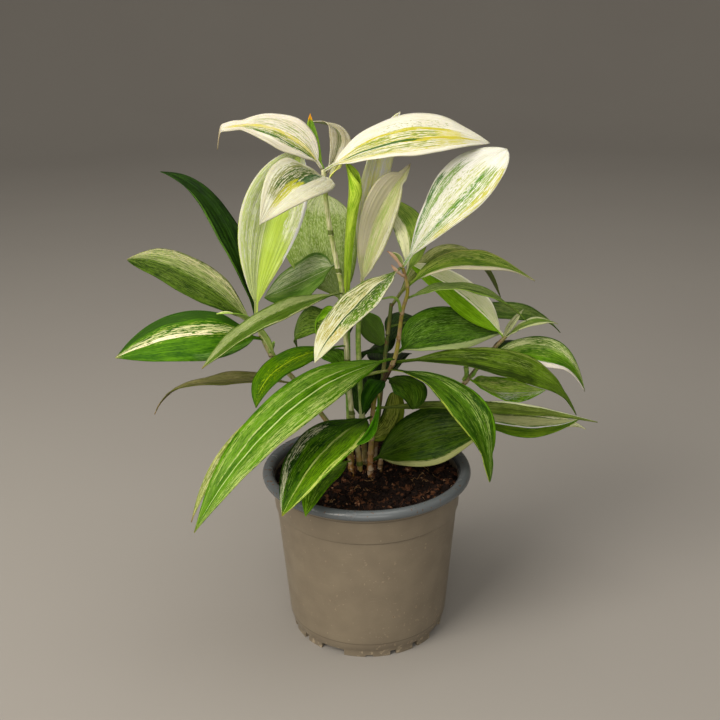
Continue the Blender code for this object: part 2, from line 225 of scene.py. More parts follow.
def bend_sheet(name: str, cells: tuple[int, int], size: tuple[float, float], shift: Vector,
               point_at: Callable[[float, float], Vector], thickness: float) -> Piece:
    """Bend a flat grid to a leaf with two UV maps, and thicken it.

    The map "share" runs from 0 to 1 across and along the leaf, and "fibre" is in millimetres.

    Args:
        name: The piece's name.
        cells: How many cells there are along and across.
        size: The flat leaf's width and length in millimetres.
        shift: Where the leaf lies on the pattern of its fibres, in millimetres.
        point_at: Gives the point in millimetres at a place along, 0 to 1, and across, -1 to 1.
        thickness: The leaf's thickness in millimetres.

    Returns:
        The leaf. Its upper faces come first, its lower ones next and its edge last.
    """
    deselect()
    bpy.ops.mesh.primitive_grid_add(x_subdivisions=cells[0], y_subdivisions=cells[1], size=1.0)
    leaf = bpy.context.object
    leaf.name = leaf.data.name = name
    mesh = leaf.data
    while mesh.uv_layers:
        mesh.uv_layers.remove(mesh.uv_layers[0])
    share = mesh.uv_layers.new(name="share")
    fibre = mesh.uv_layers.new(name="fibre")
    for loop in mesh.loops:
        corner = mesh.vertices[loop.vertex_index].co
        share.data[loop.index].uv = (corner.y + 0.5, corner.x + 0.5)
        fibre.data[loop.index].uv = Vector((corner.y * size[0], (corner.x + 0.5) * size[1])) + shift
    for corner in mesh.vertices:
        corner.co = point_at(corner.co.x + 0.5, corner.co.y * 2.0) * MM
    apply_modifier(leaf, "SOLIDIFY", thickness=thickness * MM, offset=0.0)
    bpy.ops.object.shade_smooth()
    return leaf


def smooth_point(points: list[Vector], place: float) -> Vector:
    """Find a point on a smooth curve through points.

    Args:
        points: The points that the curve passes.
        place: The place on it, in spans from the first point.

    Returns:
        The point.
    """
    span = min(int(place), len(points) - 2)
    t = place - span
    start, end = points[span], points[span + 1]
    before = points[span - 1] if span > 0 else 2.0 * start - end
    after = points[span + 2] if span + 2 < len(points) else 2.0 * end - start
    lift = (end - before) * 0.5
    land = (after - start) * 0.5
    return (start * (2 * t**3 - 3 * t**2 + 1) + lift * (t**3 - 2 * t**2 + t)
            + end * (3 * t**2 - 2 * t**3) + land * (t**3 - t**2))


def blend(values: tuple, place: float) -> float:
    """Find the value at a place among evenly spaced values.

    Args:
        values: The values.
        place: The place, in spans from the first value.

    Returns:
        The value, in a straight line between its neighbours.
    """
    span = min(int(place), len(values) - 2)
    return values[span] + (values[span + 1] - values[span]) * (place - span)


def hand_over(piece: Piece, material: Material, slot: str, *nodes: str) -> None:
    """Give a finished piece its finish and its place in the frame, and report it.

    Args:
        piece: The finished piece.
        material: Its material.
        slot: The record's material slot; not used.
        *nodes: The CAD nodes that it stands for, if any.
    """
    piece.data.materials.clear()
    piece.data.materials.append(material)
    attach(piece, BODY)
    if nodes:
        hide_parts(*nodes)
    LOG.info("%s: %d faces", piece.name, len(piece.data.polygons))


class Grain(Enum):
    """The marks in a blade: their width and length in millimetres, and how soft their edge is."""

    STREAK = (0.65, 14.0, 0.03)
    FLECK = (0.65, 2.4, 0.03)
    VEIL = (0.45, 9.0, 0.13)


class Fibre(Enum):
    """Noise drawn out along a blade: its width and length in millimetres, and its finer layers."""

    SWAY = (16.0, 40.0, 1.0)
    DASH = (0.42, 3.0, 2.0)
    VEIN = (0.6, 45.0, 1.0)
    # Broad clouds of painted light and shade, which also vary the gloss.
    SHADE_AND_GLOSS = (6.0, 16.0, 2.0)
    PLEAT = (2.2, 70.0, 0.0)


@dataclass(frozen=True)
class Band:
    """A strip of another colour along a blade, broken up by the blade's own grain.

    centre and width are shares of the half blade, from -1 to 1 across. share is how much of the
    strip the colour's marks take up, start and end are shares of the blade's length, and cover is
    how far a mark hides the green below it.
    """

    colour: str
    centre: float
    width: float
    share: float = 0.6
    start: float = 0.0
    end: float = 1.0
    grain: Grain = Grain.STREAK
    cover: float = 0.96

    def mask(self, tree: Tree, across: Socket, along: Socket, drawn: dict) -> Socket:
        """Work out where the band's colour shows.

        Args:
            tree: The material's tree.
            across: The place across the blade, from -1 to 1.
            along: The place along the blade, from 0 to 1.
            drawn: The noise of each kind of grain.

        Returns:
            The mask, from 0 to 1.
        """
        offset = add_node(tree, "Math", {0: across, 1: self.centre}, operation="SUBTRACT")
        offset = add_node(tree, "Math", {0: offset}, operation="ABSOLUTE")
        soft = 0.4 * self.width + 0.012
        # Each smooth ramp is 0 at its first value and 1 at its second.
        ramps = [(offset, self.width + soft, max(self.width - soft, 0.0))]
        if self.start > 0.0:
            ramps.append((along, self.start - 0.08, self.start + 0.12))
        if self.end < 1.0:
            ramps.append((along, self.end + 0.08, self.end - 0.12))
        mask = 1.0
        for place, none, full in ramps:
            ramp = add_node(tree, "MapRange", {0: place, 1: none, 2: full}, interpolation_type="SMOOTHSTEP")
            mask = add_node(tree, "Math", {0: mask, 1: ramp}, operation="MULTIPLY")
        # The noise is a bell about 0.5, so the share that it covers is spread to suit.
        spread = 0.6 * self.share + 0.2
        mask = add_node(tree, "Math", {0: mask, 1: spread, 2: -0.5}, operation="MULTIPLY_ADD")
        mask = add_node(tree, "Math", {0: drawn[self.grain], 1: mask}, operation="ADD")
        edge = self.grain.value[2]
        return add_node(tree, "MapRange", {0: mask, 1: 0.5 - edge, 2: 0.5 + edge, 4: self.cover})


@dataclass(frozen=True)
class BladeFinish:
    """Leaf tissue: a waxy skin over parallel veins, with pale places that have no green."""

    deep: str
    light: str
    bands: tuple[Band, ...] = ()
    under: str = "#7F8C52"
    roughness: float = 0.42
    glow: float = 0.1

    def material(self, name: str) -> Material:
        """Build the blade's material.

        Args:
            name: The leaf's name.

        Returns:
            The material.
        """
        # Leaf tissue grew as it is: soft and full of water under a thin wax. It lets a little
        # light through, and its gloss is low, broad and broken up lengthwise by the veins.
        material, tree = new_material("leaf tissue, " + name)
        share = add_node(tree, "UVMap", uv_map="share")
        parts = add_node(tree, "SeparateXYZ", {0: share}).node
        fibre = add_node(tree, "UVMap", uv_map="fibre")
        sizes = {kind: kind.value for kind in Fibre}
        sizes.update({grain: (*grain.value[:2], 3.0) for grain in Grain})
        drawn = {}
        for kind, (wide, tall, detail) in sizes.items():
            scaled = add_node(tree, "Mapping", {"Vector": fibre, "Scale": (1.0 / wide, 1.0 / tall, 1.0)})
            drawn[kind] = add_node(tree, "TexNoise", {
                "Vector": scaled, "Scale": 1.0, "Detail": detail, "Roughness": 0.6}, noise_dimensions="2D")
        # Marks are broken up by short dashes, and wander sideways by about a millimetre.
        dash, vein, shade_and_gloss = drawn[Fibre.DASH], drawn[Fibre.VEIN], drawn[Fibre.SHADE_AND_GLOSS]
        broken = add_node(tree, "Math", {0: dash, 1: 0.45, 2: -0.2}, operation="MULTIPLY_ADD")
        for grain in Grain:
            drawn[grain] = add_node(tree, "Math", {0: drawn[grain], 1: 0.95, 2: broken},
                                    operation="MULTIPLY_ADD")
        across = add_node(tree, "Math", {0: parts.outputs[0], 1: 2.0, 2: -1.08}, operation="MULTIPLY_ADD")
        across = add_node(tree, "Math", {0: drawn[Fibre.SWAY], 1: 0.16, 2: across},
                          operation="MULTIPLY_ADD")
        # The tissue is deeper green over the veins, about 0.6 mm apart, and lighter between them. Broad
        # clouds, 6 by 16 mm, lighten and deepen the green as painted light and shade of the blade's gentle
        # swells.
        tone = add_node(tree, "Math", {0: vein, 1: 0.8, 2: shade_and_gloss}, operation="MULTIPLY_ADD")
        tone = add_node(tree, "Math", {0: dash, 1: 0.8, 2: tone}, operation="MULTIPLY_ADD")
        tone = add_node(tree, "MapRange", {0: tone, 1: 1.1, 2: 1.54})
        layers = [(tone, self.light)]
        for band in self.bands:
            layers.append((band.mask(tree, across, parts.outputs[1], drawn), band.colour))
        # The lower skin has more air under it, so it is paler and duller.
        below = add_node(tree, "Attribute", output="Fac", attribute_name="below")
        dulled = add_node(tree, "Math", {0: below, 1: 0.6}, operation="MULTIPLY")
        layers.append((dulled, self.under))
        rough = add_node(tree, "Math", {0: below, 1: 0.16, 2: self.roughness - 0.08},
                         operation="MULTIPLY_ADD")
        rough = add_node(tree, "Math", {0: shade_and_gloss, 1: 0.2, 2: rough}, operation="MULTIPLY_ADD")
        relief = add_node(tree, "Math", {0: drawn[Fibre.PLEAT], 1: 2.4, 2: vein},
                          operation="MULTIPLY_ADD")
        bump = add_node(tree, "Bump", {"Strength": 0.6, "Distance": 0.0003, "Height": relief})
        close_material(tree, self.deep, layers, {"Roughness": rough, "Normal": bump},
                       IOR=1.42, Specular_IOR_Level=0.09, Subsurface_Weight=self.glow,
                       Subsurface_Radius=(0.8, 1.0, 0.15), Subsurface_Scale=0.0015)
        return material


# Each leaf's colours and bands, from its base up. A band with a width over 1 goes right across.
FINISHES = {
    "crown_left": BladeFinish("#C3BCA7", "#D5D1C1", (
        Band("#BCB33D", 0.1, 0.34, 0.62, 0.0, 0.9, cover=0.85),
        Band("#627932", 0.3, 0.3, 0.56, 0.0, 0.8, cover=0.9),
        Band("#3D5D1C", 0.4, 0.07, 0.75, 0.03, 0.7, cover=0.95),
        Band("#808C4D", -0.4, 0.36, 0.42, 0.0, 0.75, cover=0.8),
        Band("#A3A085", 0.86, 0.22, 0.6, grain=Grain.VEIL, cover=0.6),
        Band("#899A42", 0.0, 1.4, 0.62, 0.0, 0.07),
        Band("#A08E6B", 0.0, 1.4, 0.9, 0.88, grain=Grain.VEIL, cover=0.8))),
    "crown_right": BladeFinish("#CBC8B3", "#D7D5C7", (
        Band("#C1B943", 0.04, 0.34, 0.6, 0.03, 0.9, cover=0.85),
        Band("#6D8334", 0.12, 0.3, 0.48, 0.08, 0.78, cover=0.9),
        Band("#838F3E", 0.5, 0.25, 0.3, 0.3, 0.85, grain=Grain.FLECK, cover=0.9),
        Band("#B3AE3C", -0.56, 0.34, 0.56, 0.0, 0.92, cover=0.85),
        Band("#5F7A32", -0.48, 0.28, 0.42, 0.06, 0.75, cover=0.9),
        Band("#B9AE18", -0.22, 0.13, 0.8, 0.4, 0.97, cover=0.95),
        Band("#B7B026", 0.28, 0.06, 0.7, 0.05, 0.85, cover=0.9),
        Band("#335D1F", -0.2, 0.08, 0.8, 0.06, 0.62, cover=0.95),
        Band("#8C9F32", 0.0, 0.9, 0.6, 0.0, 0.13))),
    "crown_front": BladeFinish("#B8B499", "#C7C8B2", (
        Band("#7D8245", -0.3, 0.5, 0.6, 0.02, 0.85, cover=0.85),
        Band("#41581E", -0.22, 0.36, 0.54, 0.06, 0.74, cover=0.95),
        Band("#9F9E78", 0.75, 0.26, 0.45, 0.0, 0.6, grain=Grain.FLECK, cover=0.6),
        Band("#2D4F23", 0.1, 0.19, 0.8, 0.06, 0.6, cover=0.95),
        Band("#A7A728", 0.04, 0.24, 0.62, 0.4, 0.9, cover=0.92))),
    "crown_back": BladeFinish("#928B6D", "#B0AD97", (
        Band("#5B6631", 0.15, 0.3, 0.5, 0.0, 0.8),)),
    "crown_bud": BladeFinish("#577F1C", "#91B038", (
        Band("#E0991F", 0.0, 1.4, 1.0, 0.84, grain=Grain.VEIL),)),
    "crown_under": BladeFinish("#C9CE6A", "#EFEF8A", (
        Band("#EFEFD5", 0.6, 0.5, 0.5),), glow=0.2),
    "tall_back": BladeFinish("#677E2C", "#879B53", (
        Band("#ABB681", 0.0, 1.1, 0.42, grain=Grain.FLECK, cover=0.6),
        Band("#BBBD99", 0.0, 1.3, 0.55, 0.72, grain=Grain.VEIL, cover=0.7),
        Band("#4E6A1F", 0.0, 1.1, 0.4, 0.0, 0.5, cover=0.6)), under="#A4B086"),
    "tall_left": BladeFinish("#355513", "#546F2B", (
        Band("#87926C", -0.5, 0.45, 0.6, grain=Grain.VEIL, cover=0.7),
        Band("#9EA584", -0.5, 0.4, 0.42, cover=0.7), Band("#677843", 0.2, 0.4, 0.45, cover=0.6),
        Band("#9EA582", 0.02, 0.025, 0.8, 0.0, 0.95, cover=0.8)), under="#747F5A"),
    "tall_front": BladeFinish("#3E570F", "#556F23", (
        Band("#88955B", -0.5, 0.42, 0.75, grain=Grain.VEIL, cover=0.9),
        Band("#9CA371", -0.35, 0.3, 0.4, cover=0.8), Band("#989E6A", 0.92, 0.1, 0.6, 0.1),
        Band("#2E4509", 0.3, 0.25, 0.5, 0.0, 0.9, cover=0.7),
        Band("#907647", 0.0, 1.4, 0.9, 0.95, grain=Grain.VEIL))),
    "tall_low": BladeFinish("#244A02", "#4C7202", (
        Band("#85A006", 0.1, 0.6, 0.34, grain=Grain.FLECK, cover=0.75),
        Band("#97AC18", -0.05, 0.05, 0.6, 0.05, 0.9, cover=0.8)), roughness=0.38),
    "tall_narrow": BladeFinish("#497605", "#83AD23"),
    "tall_hanging": BladeFinish("#2B4C03", "#618122", (
        Band("#93B050", 0.0, 1.0, 0.42, grain=Grain.VEIL, cover=0.7),), under="#7D9A47"),
    "left_upright": BladeFinish("#A9BC4F", "#BFD177", (
        Band("#B7C091", 0.5, 0.55, 0.7, grain=Grain.VEIL, cover=0.75),
        Band("#9AAC65", 0.45, 0.5, 0.42, grain=Grain.FLECK, cover=0.6),
        Band("#D6D9C6", 0.6, 0.4, 0.4, 0.25, cover=0.7),
        Band("#9CB838", -0.34, 0.5, 0.66, 0.02, 0.72, grain=Grain.VEIL, cover=0.6),
        Band("#D6DBBB", -0.8, 0.32, 0.6, 0.42, grain=Grain.VEIL, cover=0.8),
        Band("#E9E8DC", -0.7, 0.3, 0.4, 0.45, cover=0.75),
        Band("#EFEFEF", -0.97, 0.08, 0.9, 0.3, cover=0.9),
        Band("#D2D1BD", 0.97, 0.06, 0.8, 0.1, cover=0.8),
        Band("#D2D9AC", 0.1, 0.03, 0.9, 0.0, 0.9, cover=0.7)), under="#C1CB8F", glow=0.2),
    "left_back": BladeFinish("#0C2102", "#213E04", (
        Band("#45671A", 0.93, 0.1, 0.7, 0.0, 0.75, cover=0.8),), under="#3A4F1F"),
    "left_arch": BladeFinish("#1C3202", "#496214", (
        Band("#969D66", -0.6, 0.56, 0.64, grain=Grain.VEIL, cover=0.85),
        Band("#576D23", -0.3, 0.4, 0.4, cover=0.8), Band("#BAB38A", -0.75, 0.3, 0.42, 0.1, cover=0.8),
        Band("#61762E", 0.3, 0.6, 0.42, 0.1, cover=0.7),
        Band("#AA977B", 0.0, 1.4, 0.9, 0.96, grain=Grain.VEIL, cover=0.9))),
    "left_broad": BladeFinish("#275103", "#4F7D0D", (
        Band("#27460D", -0.88, 0.3, 0.85, grain=Grain.VEIL, cover=0.9),
        Band("#95A948", -0.24, 0.38, 0.42, 0.05, cover=0.9),
        Band("#C9CB92", -0.26, 0.22, 0.5, 0.1, cover=0.95),
        Band("#EFE5BC", -0.1, 0.1, 0.62, 0.3, cover=0.95),
        Band("#6D8A4D", 0.85, 0.2, 0.5, 0.0, 0.6, grain=Grain.VEIL, cover=0.5),
        Band("#D7C78D", 0.0, 1.4, 0.8, 0.95, grain=Grain.VEIL, cover=0.8)), roughness=0.34),
    "left_edge": BladeFinish("#749834", "#B8D369", (
        Band("#EFEFB6", -0.7, 0.35, 0.6, cover=0.9),)),
    "left_low": BladeFinish("#4B5118", "#706B42", (
        Band("#928D5F", 0.0, 0.9, 0.4, grain=Grain.VEIL, cover=0.6),
        Band("#A08253", 0.0, 1.4, 0.9, 0.86, grain=Grain.VEIL, cover=0.8)), under="#776E4A"),
    "front_up": BladeFinish("#C6C7B5", "#D8D7D0", (
        Band("#A6AF52", -0.1, 0.5, 0.4, 0.0, 0.88, cover=0.9),
        Band("#81983D", -0.55, 0.3, 0.52, 0.0, 0.9), Band("#B2AF49", -0.82, 0.2, 0.5, 0.15, 0.95),
        Band("#6A8C37", 0.62, 0.2, 0.55, 0.02, 0.8, cover=0.9),
        Band("#93A04D", 0.25, 0.3, 0.3, 0.2, 0.8, grain=Grain.FLECK, cover=0.9),
        Band("#376519", 0.83, 0.1, 0.64, 0.02, 0.66, cover=0.9),
        Band("#6E8A32", -0.3, 0.2, 0.5, 0.06, 0.9, cover=0.9),
        Band("#3A6E23", -0.28, 0.09, 0.6, 0.12, 0.82, cover=0.9),
        Band("#6C8F33", -0.26, 0.2, 0.42, 0.1, 0.85, grain=Grain.FLECK, cover=0.9),
        Band("#719833", 0.0, 1.1, 0.62, 0.0, 0.15),
        Band("#785932", 0.35, 0.14, 0.7, 0.9, 0.97, grain=Grain.FLECK, cover=0.9))),
    "front_speckled": BladeFinish("#B9B88D", "#C7C8AF", (
        Band("#999245", -0.5, 0.5, 0.5, 0.0, 0.9), Band("#496317", -0.55, 0.45, 0.42, 0.0, 0.68),
        Band("#A99B45", 0.45, 0.5, 0.5, 0.12, 0.9, grain=Grain.FLECK),
        Band("#4E7012", 0.5, 0.5, 0.66, 0.0, 0.72, grain=Grain.FLECK),
        Band("#294807", 0.35, 0.35, 0.48, 0.0, 0.6), Band("#446312", 0.0, 1.2, 0.66, 0.0, 0.2),
        Band("#214204", 0.0, 0.065, 0.97, 0.0, 0.95), Band("#567023", -0.95, 0.08, 0.6, 0.0, 0.7))),
    "front_rear": BladeFinish("#567623", "#869B3F", (
        Band("#D3D3A9", 0.6, 0.4, 0.8, grain=Grain.VEIL, cover=0.9),), under="#CCCA93"),
    "front_arch": BladeFinish("#3B5B0B", "#748C2D", (
        Band("#96A24F", 0.5, 0.5, 0.46, cover=0.8), Band("#A8AC56", 0.92, 0.12, 0.6, 0.2),
        Band("#B6B094", -0.86, 0.26, 0.98, 0.1, grain=Grain.VEIL),
        Band("#CCC485", 0.0, 1.4, 0.8, 0.93, grain=Grain.VEIL, cover=0.9)), under="#B8B296"),
    "front_flat": BladeFinish("#587A20", "#89A24B", (
        Band("#C2CF89", 0.4, 0.5, 0.38, grain=Grain.VEIL, cover=0.6),
        Band("#3F600F", -0.6, 0.4, 0.5, cover=0.7))),
    "knee_long": BladeFinish("#315A01", "#58850F", (
        Band("#7C9D3C", -0.55, 0.34, 0.5, grain=Grain.VEIL, cover=0.55),
        Band("#819D3E", 0.5, 0.35, 0.5, grain=Grain.VEIL, cover=0.6),
        Band("#9EB063", 0.62, 0.3, 0.42, 0.1, cover=0.8),
        Band("#A7B66C", -0.3, 0.04, 0.6, 0.1, 0.9, cover=0.9),
        Band("#97AC55", -0.75, 0.1, 0.5, 0.2, cover=0.8),
        Band("#9EAE5F", 0.94, 0.1, 0.6, 0.2, cover=0.9), Band("#B0C17A", 0.02, 0.035, 0.95, cover=0.95),
        Band("#B9835F", 0.0, 1.4, 1.0, 0.975, grain=Grain.VEIL)), roughness=0.36, glow=0.16),
    "knee_right": BladeFinish("#1D3C01", "#486B0D", (
        Band("#82974D", 0.42, 0.36, 0.42, cover=0.75), Band("#718D33", -0.3, 0.3, 0.34, 0.1, cover=0.6),
        Band("#598711", 0.96, 0.07, 0.8, cover=0.9),
        Band("#152B04", 0.0, 1.4, 0.8, 0.0, 0.16, grain=Grain.VEIL, cover=0.7),
        Band("#899736", -0.97, 0.06, 0.6, cover=0.8)), roughness=0.36),
    "knee_far": BladeFinish("#273C02", "#5B761A", (
        Band("#182602", -0.78, 0.26, 0.7, 0.0, 0.8, grain=Grain.VEIL, cover=0.85),
        Band("#80904A", 0.3, 0.45, 0.36, cover=0.6),
        Band("#62821A", 0.0, 1.4, 0.6, 0.6, grain=Grain.VEIL, cover=0.7),
        Band("#78863D", 0.9, 0.1, 0.6, cover=0.7))),
    "knee_broad": BladeFinish("#204202", "#4D770D", (
        Band("#80A445", 0.0, 1.0, 0.34, 0.05, grain=Grain.VEIL, cover=0.6),
        Band("#8BAE50", 0.3, 0.6, 0.28, 0.1, cover=0.7),
        Band("#A5B476", -0.9, 0.17, 0.9, grain=Grain.VEIL, cover=0.9)), roughness=0.36),
    "knee_hanging": BladeFinish("#0E2603", "#2B4803", (
        Band("#57721B", 0.0, 1.0, 0.4, grain=Grain.VEIL, cover=0.6),)),
    "knee_drop": BladeFinish("#0F3003", "#2B5303", roughness=0.34),
    "low_front": BladeFinish("#113203", "#467003", (
        Band("#709A0F", 0.5, 0.6, 0.5, 0.1, grain=Grain.VEIL, cover=0.7),
        Band("#E6E4C1", -0.78, 0.22, 0.44, 0.22, cover=0.8),
        Band("#7FA138", -0.4, 0.3, 0.3, 0.2, cover=0.7),
        Band("#B6C86B", 0.1, 0.06, 0.6, 0.15, cover=0.9),
        Band("#B6C461", 0.92, 0.1, 0.6, 0.2, cover=0.9),
        Band("#EFDD54", 0.0, 1.4, 0.9, 0.97, grain=Grain.VEIL)), roughness=0.34),
    "low_long": BladeFinish("#415413", "#6A7B30", (
        Band("#8B9952", 0.3, 0.5, 0.4, grain=Grain.VEIL, cover=0.7),
        Band("#DAE0B6", 0.9, 0.16, 0.95, 0.5),
        Band("#BBB97E", 0.0, 1.4, 0.9, 0.94, grain=Grain.VEIL, cover=0.8))),
    "low_right": BladeFinish("#172E02", "#365005", (
        Band("#6B7B33", 0.2, 0.7, 0.3, grain=Grain.VEIL, cover=0.4),
        Band("#4F651C", 0.0, 1.0, 0.3, cover=0.4),
        Band("#91945F", -0.92, 0.15, 0.9, 0.05, grain=Grain.VEIL, cover=0.9)), under="#5F6933",
        roughness=0.36),
    "low_left": BladeFinish("#386305", "#77A917", (
        Band("#B1DD4B", 0.0, 0.8, 0.34, cover=0.7),)),
    "low_upright": BladeFinish("#1E2E04", "#5B6B14", (
        Band("#8E963F", 0.1, 0.7, 0.5, grain=Grain.VEIL, cover=0.7),)),
    "right_inward": BladeFinish("#659307", "#88B721", (
        Band("#D7DAB0", -0.56, 0.5, 0.97, grain=Grain.VEIL), Band("#BDC989", -0.5, 0.4, 0.4, cover=0.7),
        Band("#EFEFCF", -0.04, 0.05, 0.9), Band("#EFEFD4", -0.97, 0.07, 0.9)), under="#BBD274", glow=0.2),
    "right_small": BladeFinish("#50701F", "#7B8C41", (
        Band("#BDC390", 0.85, 0.25, 0.85), Band("#BDC390", -0.85, 0.25, 0.85))),
    "right_arch": BladeFinish("#2D5302", "#5B8510", (
        Band("#9CAC61", 0.55, 0.45, 0.5, grain=Grain.VEIL, cover=0.6),
        Band("#C6CC96", 0.66, 0.34, 0.46, cover=0.85), Band("#91A350", -0.1, 0.4, 0.3, 0.2, cover=0.6),
        Band("#D1CABF", -0.9, 0.24, 0.98, 0.2, grain=Grain.VEIL),
        Band("#493015", 0.0, 1.4, 1.0, 0.975, grain=Grain.VEIL)), under="#C8C1B2"),
    "right_under": BladeFinish("#53890A", "#A5D733", (
        Band("#EFEF9D", 0.1, 0.9, 0.4, 0.1, grain=Grain.VEIL, cover=0.75),
        Band("#EFEFEF", -0.5, 0.5, 0.42, 0.3, cover=0.8))),
    "right_low": BladeFinish("#456A04", "#708F1D", (
        Band("#BFC18C", 0.55, 0.42, 0.85, grain=Grain.VEIL, cover=0.9),
        Band("#EFEFEE", 0.04, 0.06, 0.95))),
    "right_last": BladeFinish("#959D66", "#D9D9AA", (
        Band("#EFEFC7", 0.0, 0.9, 0.4, cover=0.9),)),
    "middle_fold": BladeFinish("#B4B67E", "#CFCFA2", (
        Band("#D6CFB3", 0.52, 0.56, 0.98, 0.2, grain=Grain.VEIL),
        Band("#CBC4A2", 0.75, 0.3, 0.5, 0.0, 0.7, grain=Grain.VEIL, cover=0.5),
        Band("#9BB45A", -0.3, 0.28, 0.46, 0.0, 0.95, cover=0.8),
        Band("#DDDCBF", -0.85, 0.14, 0.6, cover=0.8),
        Band("#B28461", 0.0, 1.4, 1.0, 0.965, grain=Grain.VEIL)), under="#D4CFB1", glow=0.25),
    # middle_tall is a pale cream leaf; its colours are pushed to near white as painted light, for the light
    # that shines through it.
    "middle_tall": BladeFinish("#EFEFBA", "#EFEFEF", (
        Band("#EFEF86", 0.1, 0.5, 0.4, cover=0.9), Band("#EFEFEF", -0.5, 0.4, 0.4, cover=0.8)),
        under="#EFEFEF", glow=0.25),
    "back_arch": BladeFinish("#3D4C14", "#768039", (
        Band("#ABAC73", 0.6, 0.4, 0.5, grain=Grain.VEIL, cover=0.7),)),
    "back_long": BladeFinish("#2F4A0D", "#58712C", (
        Band("#828F4F", 0.3, 0.6, 0.42, grain=Grain.VEIL, cover=0.7),), under="#6A7B3C"),
    "spear": BladeFinish("#83AD1D", "#C7E350", (
        Band("#EFEF8A", 0.25, 0.34, 0.6, 0.0, 0.85, cover=0.85),
        Band("#406807", 0.0, 1.4, 0.5, 0.9, grain=Grain.VEIL, cover=0.7)), under="#487A10", glow=0.2),
    "inner": BladeFinish("#284D04", "#527E18", (
        Band("#739639", 0.0, 1.0, 0.4, grain=Grain.VEIL, cover=0.6),), under="#607E31"),
    "second": BladeFinish("#5D7224", "#979D55", (
        Band("#C2C48D", 0.0, 1.1, 0.4, cover=0.8),
        Band("#8D5D38", 0.0, 1.4, 1.0, 0.95, grain=Grain.VEIL))),
    "flap": BladeFinish("#336B02", "#559313", (
        Band("#84B039", 0.9, 0.1, 0.6, cover=0.9),
        Band("#D2B86B", 0.0, 1.4, 0.8, 0.0, 0.14, grain=Grain.VEIL)), roughness=0.34),
    "scale": BladeFinish("#BE957D", "#E2C4AA", (
        Band("#8B4D32", 0.0, 1.4, 0.9, 0.86, grain=Grain.VEIL),), under="#C8A586", roughness=0.55),
    "spike": BladeFinish("#858D5D", "#ACB085", (
        Band("#C4C49F", 0.5, 0.4, 0.5, cover=0.8),), under="#959A6D"),
    "shade": BladeFinish("#0C1F02", "#23400C", (
        Band("#4D672E", 0.0, 1.0, 0.34, grain=Grain.VEIL, cover=0.7),), under="#4F613A"),
}


@dataclass(frozen=True)
class CaneFinish:
    """Young cane bark: smooth skin, dry pale sheaths, dark rings at the joints, corky at the foot.

    ring_mm and sheath_mm are how tall a ring and a sheath are. scar is where old dark bark starts
    and ends up the cane, in millimetres, if there is any.
    """

    skin: str
    patch: str
    ring: str
    pale: str
    foot: str = "#7A4A22"
    ring_mm: float = 1.2
    sheath_mm: float = 13.0
    scar: tuple[float, float] = (0.0, 0.0)

    def material(self, name: str) -> Material:
        """Build the cane's material.

        Args:
            name: The cane's name.

        Returns:
            The material.
        """
        # Bark grew as it is: a thin waxy skin, so its gloss is soft, and dry where it has died.
        material, tree = new_material("cane bark, " + name)
        place = add_node(tree, "TexCoord", output="Object")
        height = add_node(tree, "SeparateXYZ", {0: place}, output=2)
        # Fibres in the skin are 0.5 mm wide and 8 mm long, and its blotches about 4 mm.
        drawn = add_node(tree, "Mapping", {"Vector": place, "Scale": (2000.0, 2000.0, 125.0)})
        fibres = add_node(tree, "TexNoise", {"Vector": drawn, "Scale": 1.0, "Detail": 2.0})
        blotches = add_node(tree, "TexNoise", {"Vector": place, "Scale": 260.0, "Detail": 3.0})
        patches = add_node(tree, "MapRange", {0: blotches, 1: 0.46, 2: 0.6})
        # The joint attribute is the distance above the nearest joint below, in millimetres.
        joint = add_node(tree, "Attribute", output="Fac", attribute_name="joint")
        sheath = add_node(tree, "MapRange", {0: joint, 1: self.sheath_mm, 2: self.sheath_mm - 10.0})
        dry = add_node(tree, "MapRange", {0: fibres, 1: 0.36, 2: 0.56})
        sheath = add_node(tree, "Math", {0: sheath, 1: dry}, operation="MULTIPLY")
        low = add_node(tree, "Math", {0: blotches, 1: 0.03, 2: height}, operation="MULTIPLY_ADD")
        low = add_node(tree, "MapRange", {0: low, 1: 0.132, 2: 0.116, 4: 0.85})
        layers = [(patches, self.patch), (sheath, self.pale), (low, self.foot)]
        if self.scar[1] > 0.0:
            # Old bark about the knee is almost black.
            start, end = (mark * MM for mark in self.scar)
            middle, reach = (start + end) / 2, (end - start) / 2
            knee = add_node(tree, "Math", {0: blotches, 1: 0.012, 2: height}, operation="MULTIPLY_ADD")
            knee = add_node(tree, "Math", {0: knee, 1: middle}, operation="SUBTRACT")
            knee = add_node(tree, "Math", {0: knee}, operation="ABSOLUTE")
            knee = add_node(tree, "MapRange", {0: knee, 1: reach, 2: reach - 0.004, 4: 0.9})
            layers.append((knee, "#2C180D"))
        cork = add_node(tree, "MapRange", {0: blotches, 1: 0.53, 2: 0.61, 4: 0.85})
        cork = add_node(tree, "Math", {0: low, 1: cork}, operation="MULTIPLY")
        jitter = add_node(tree, "Math", {0: blotches, 1: 1.6, 2: joint}, operation="MULTIPLY_ADD")
        ring = add_node(tree, "MapRange", {0: jitter, 1: self.ring_mm + 0.8, 2: self.ring_mm + 0.2})
        layers += [(cork, "#C2B498"), (ring, self.ring)]
        relief = add_node(tree, "Math", {0: fibres, 1: 0.5, 2: ring}, operation="MULTIPLY_ADD")
        bump = add_node(tree, "Bump", {"Strength": 0.6, "Distance": 0.0004, "Height": relief})
        close_material(tree, self.skin, layers, {"Normal": bump}, Roughness=0.5, IOR=1.45)
        return material


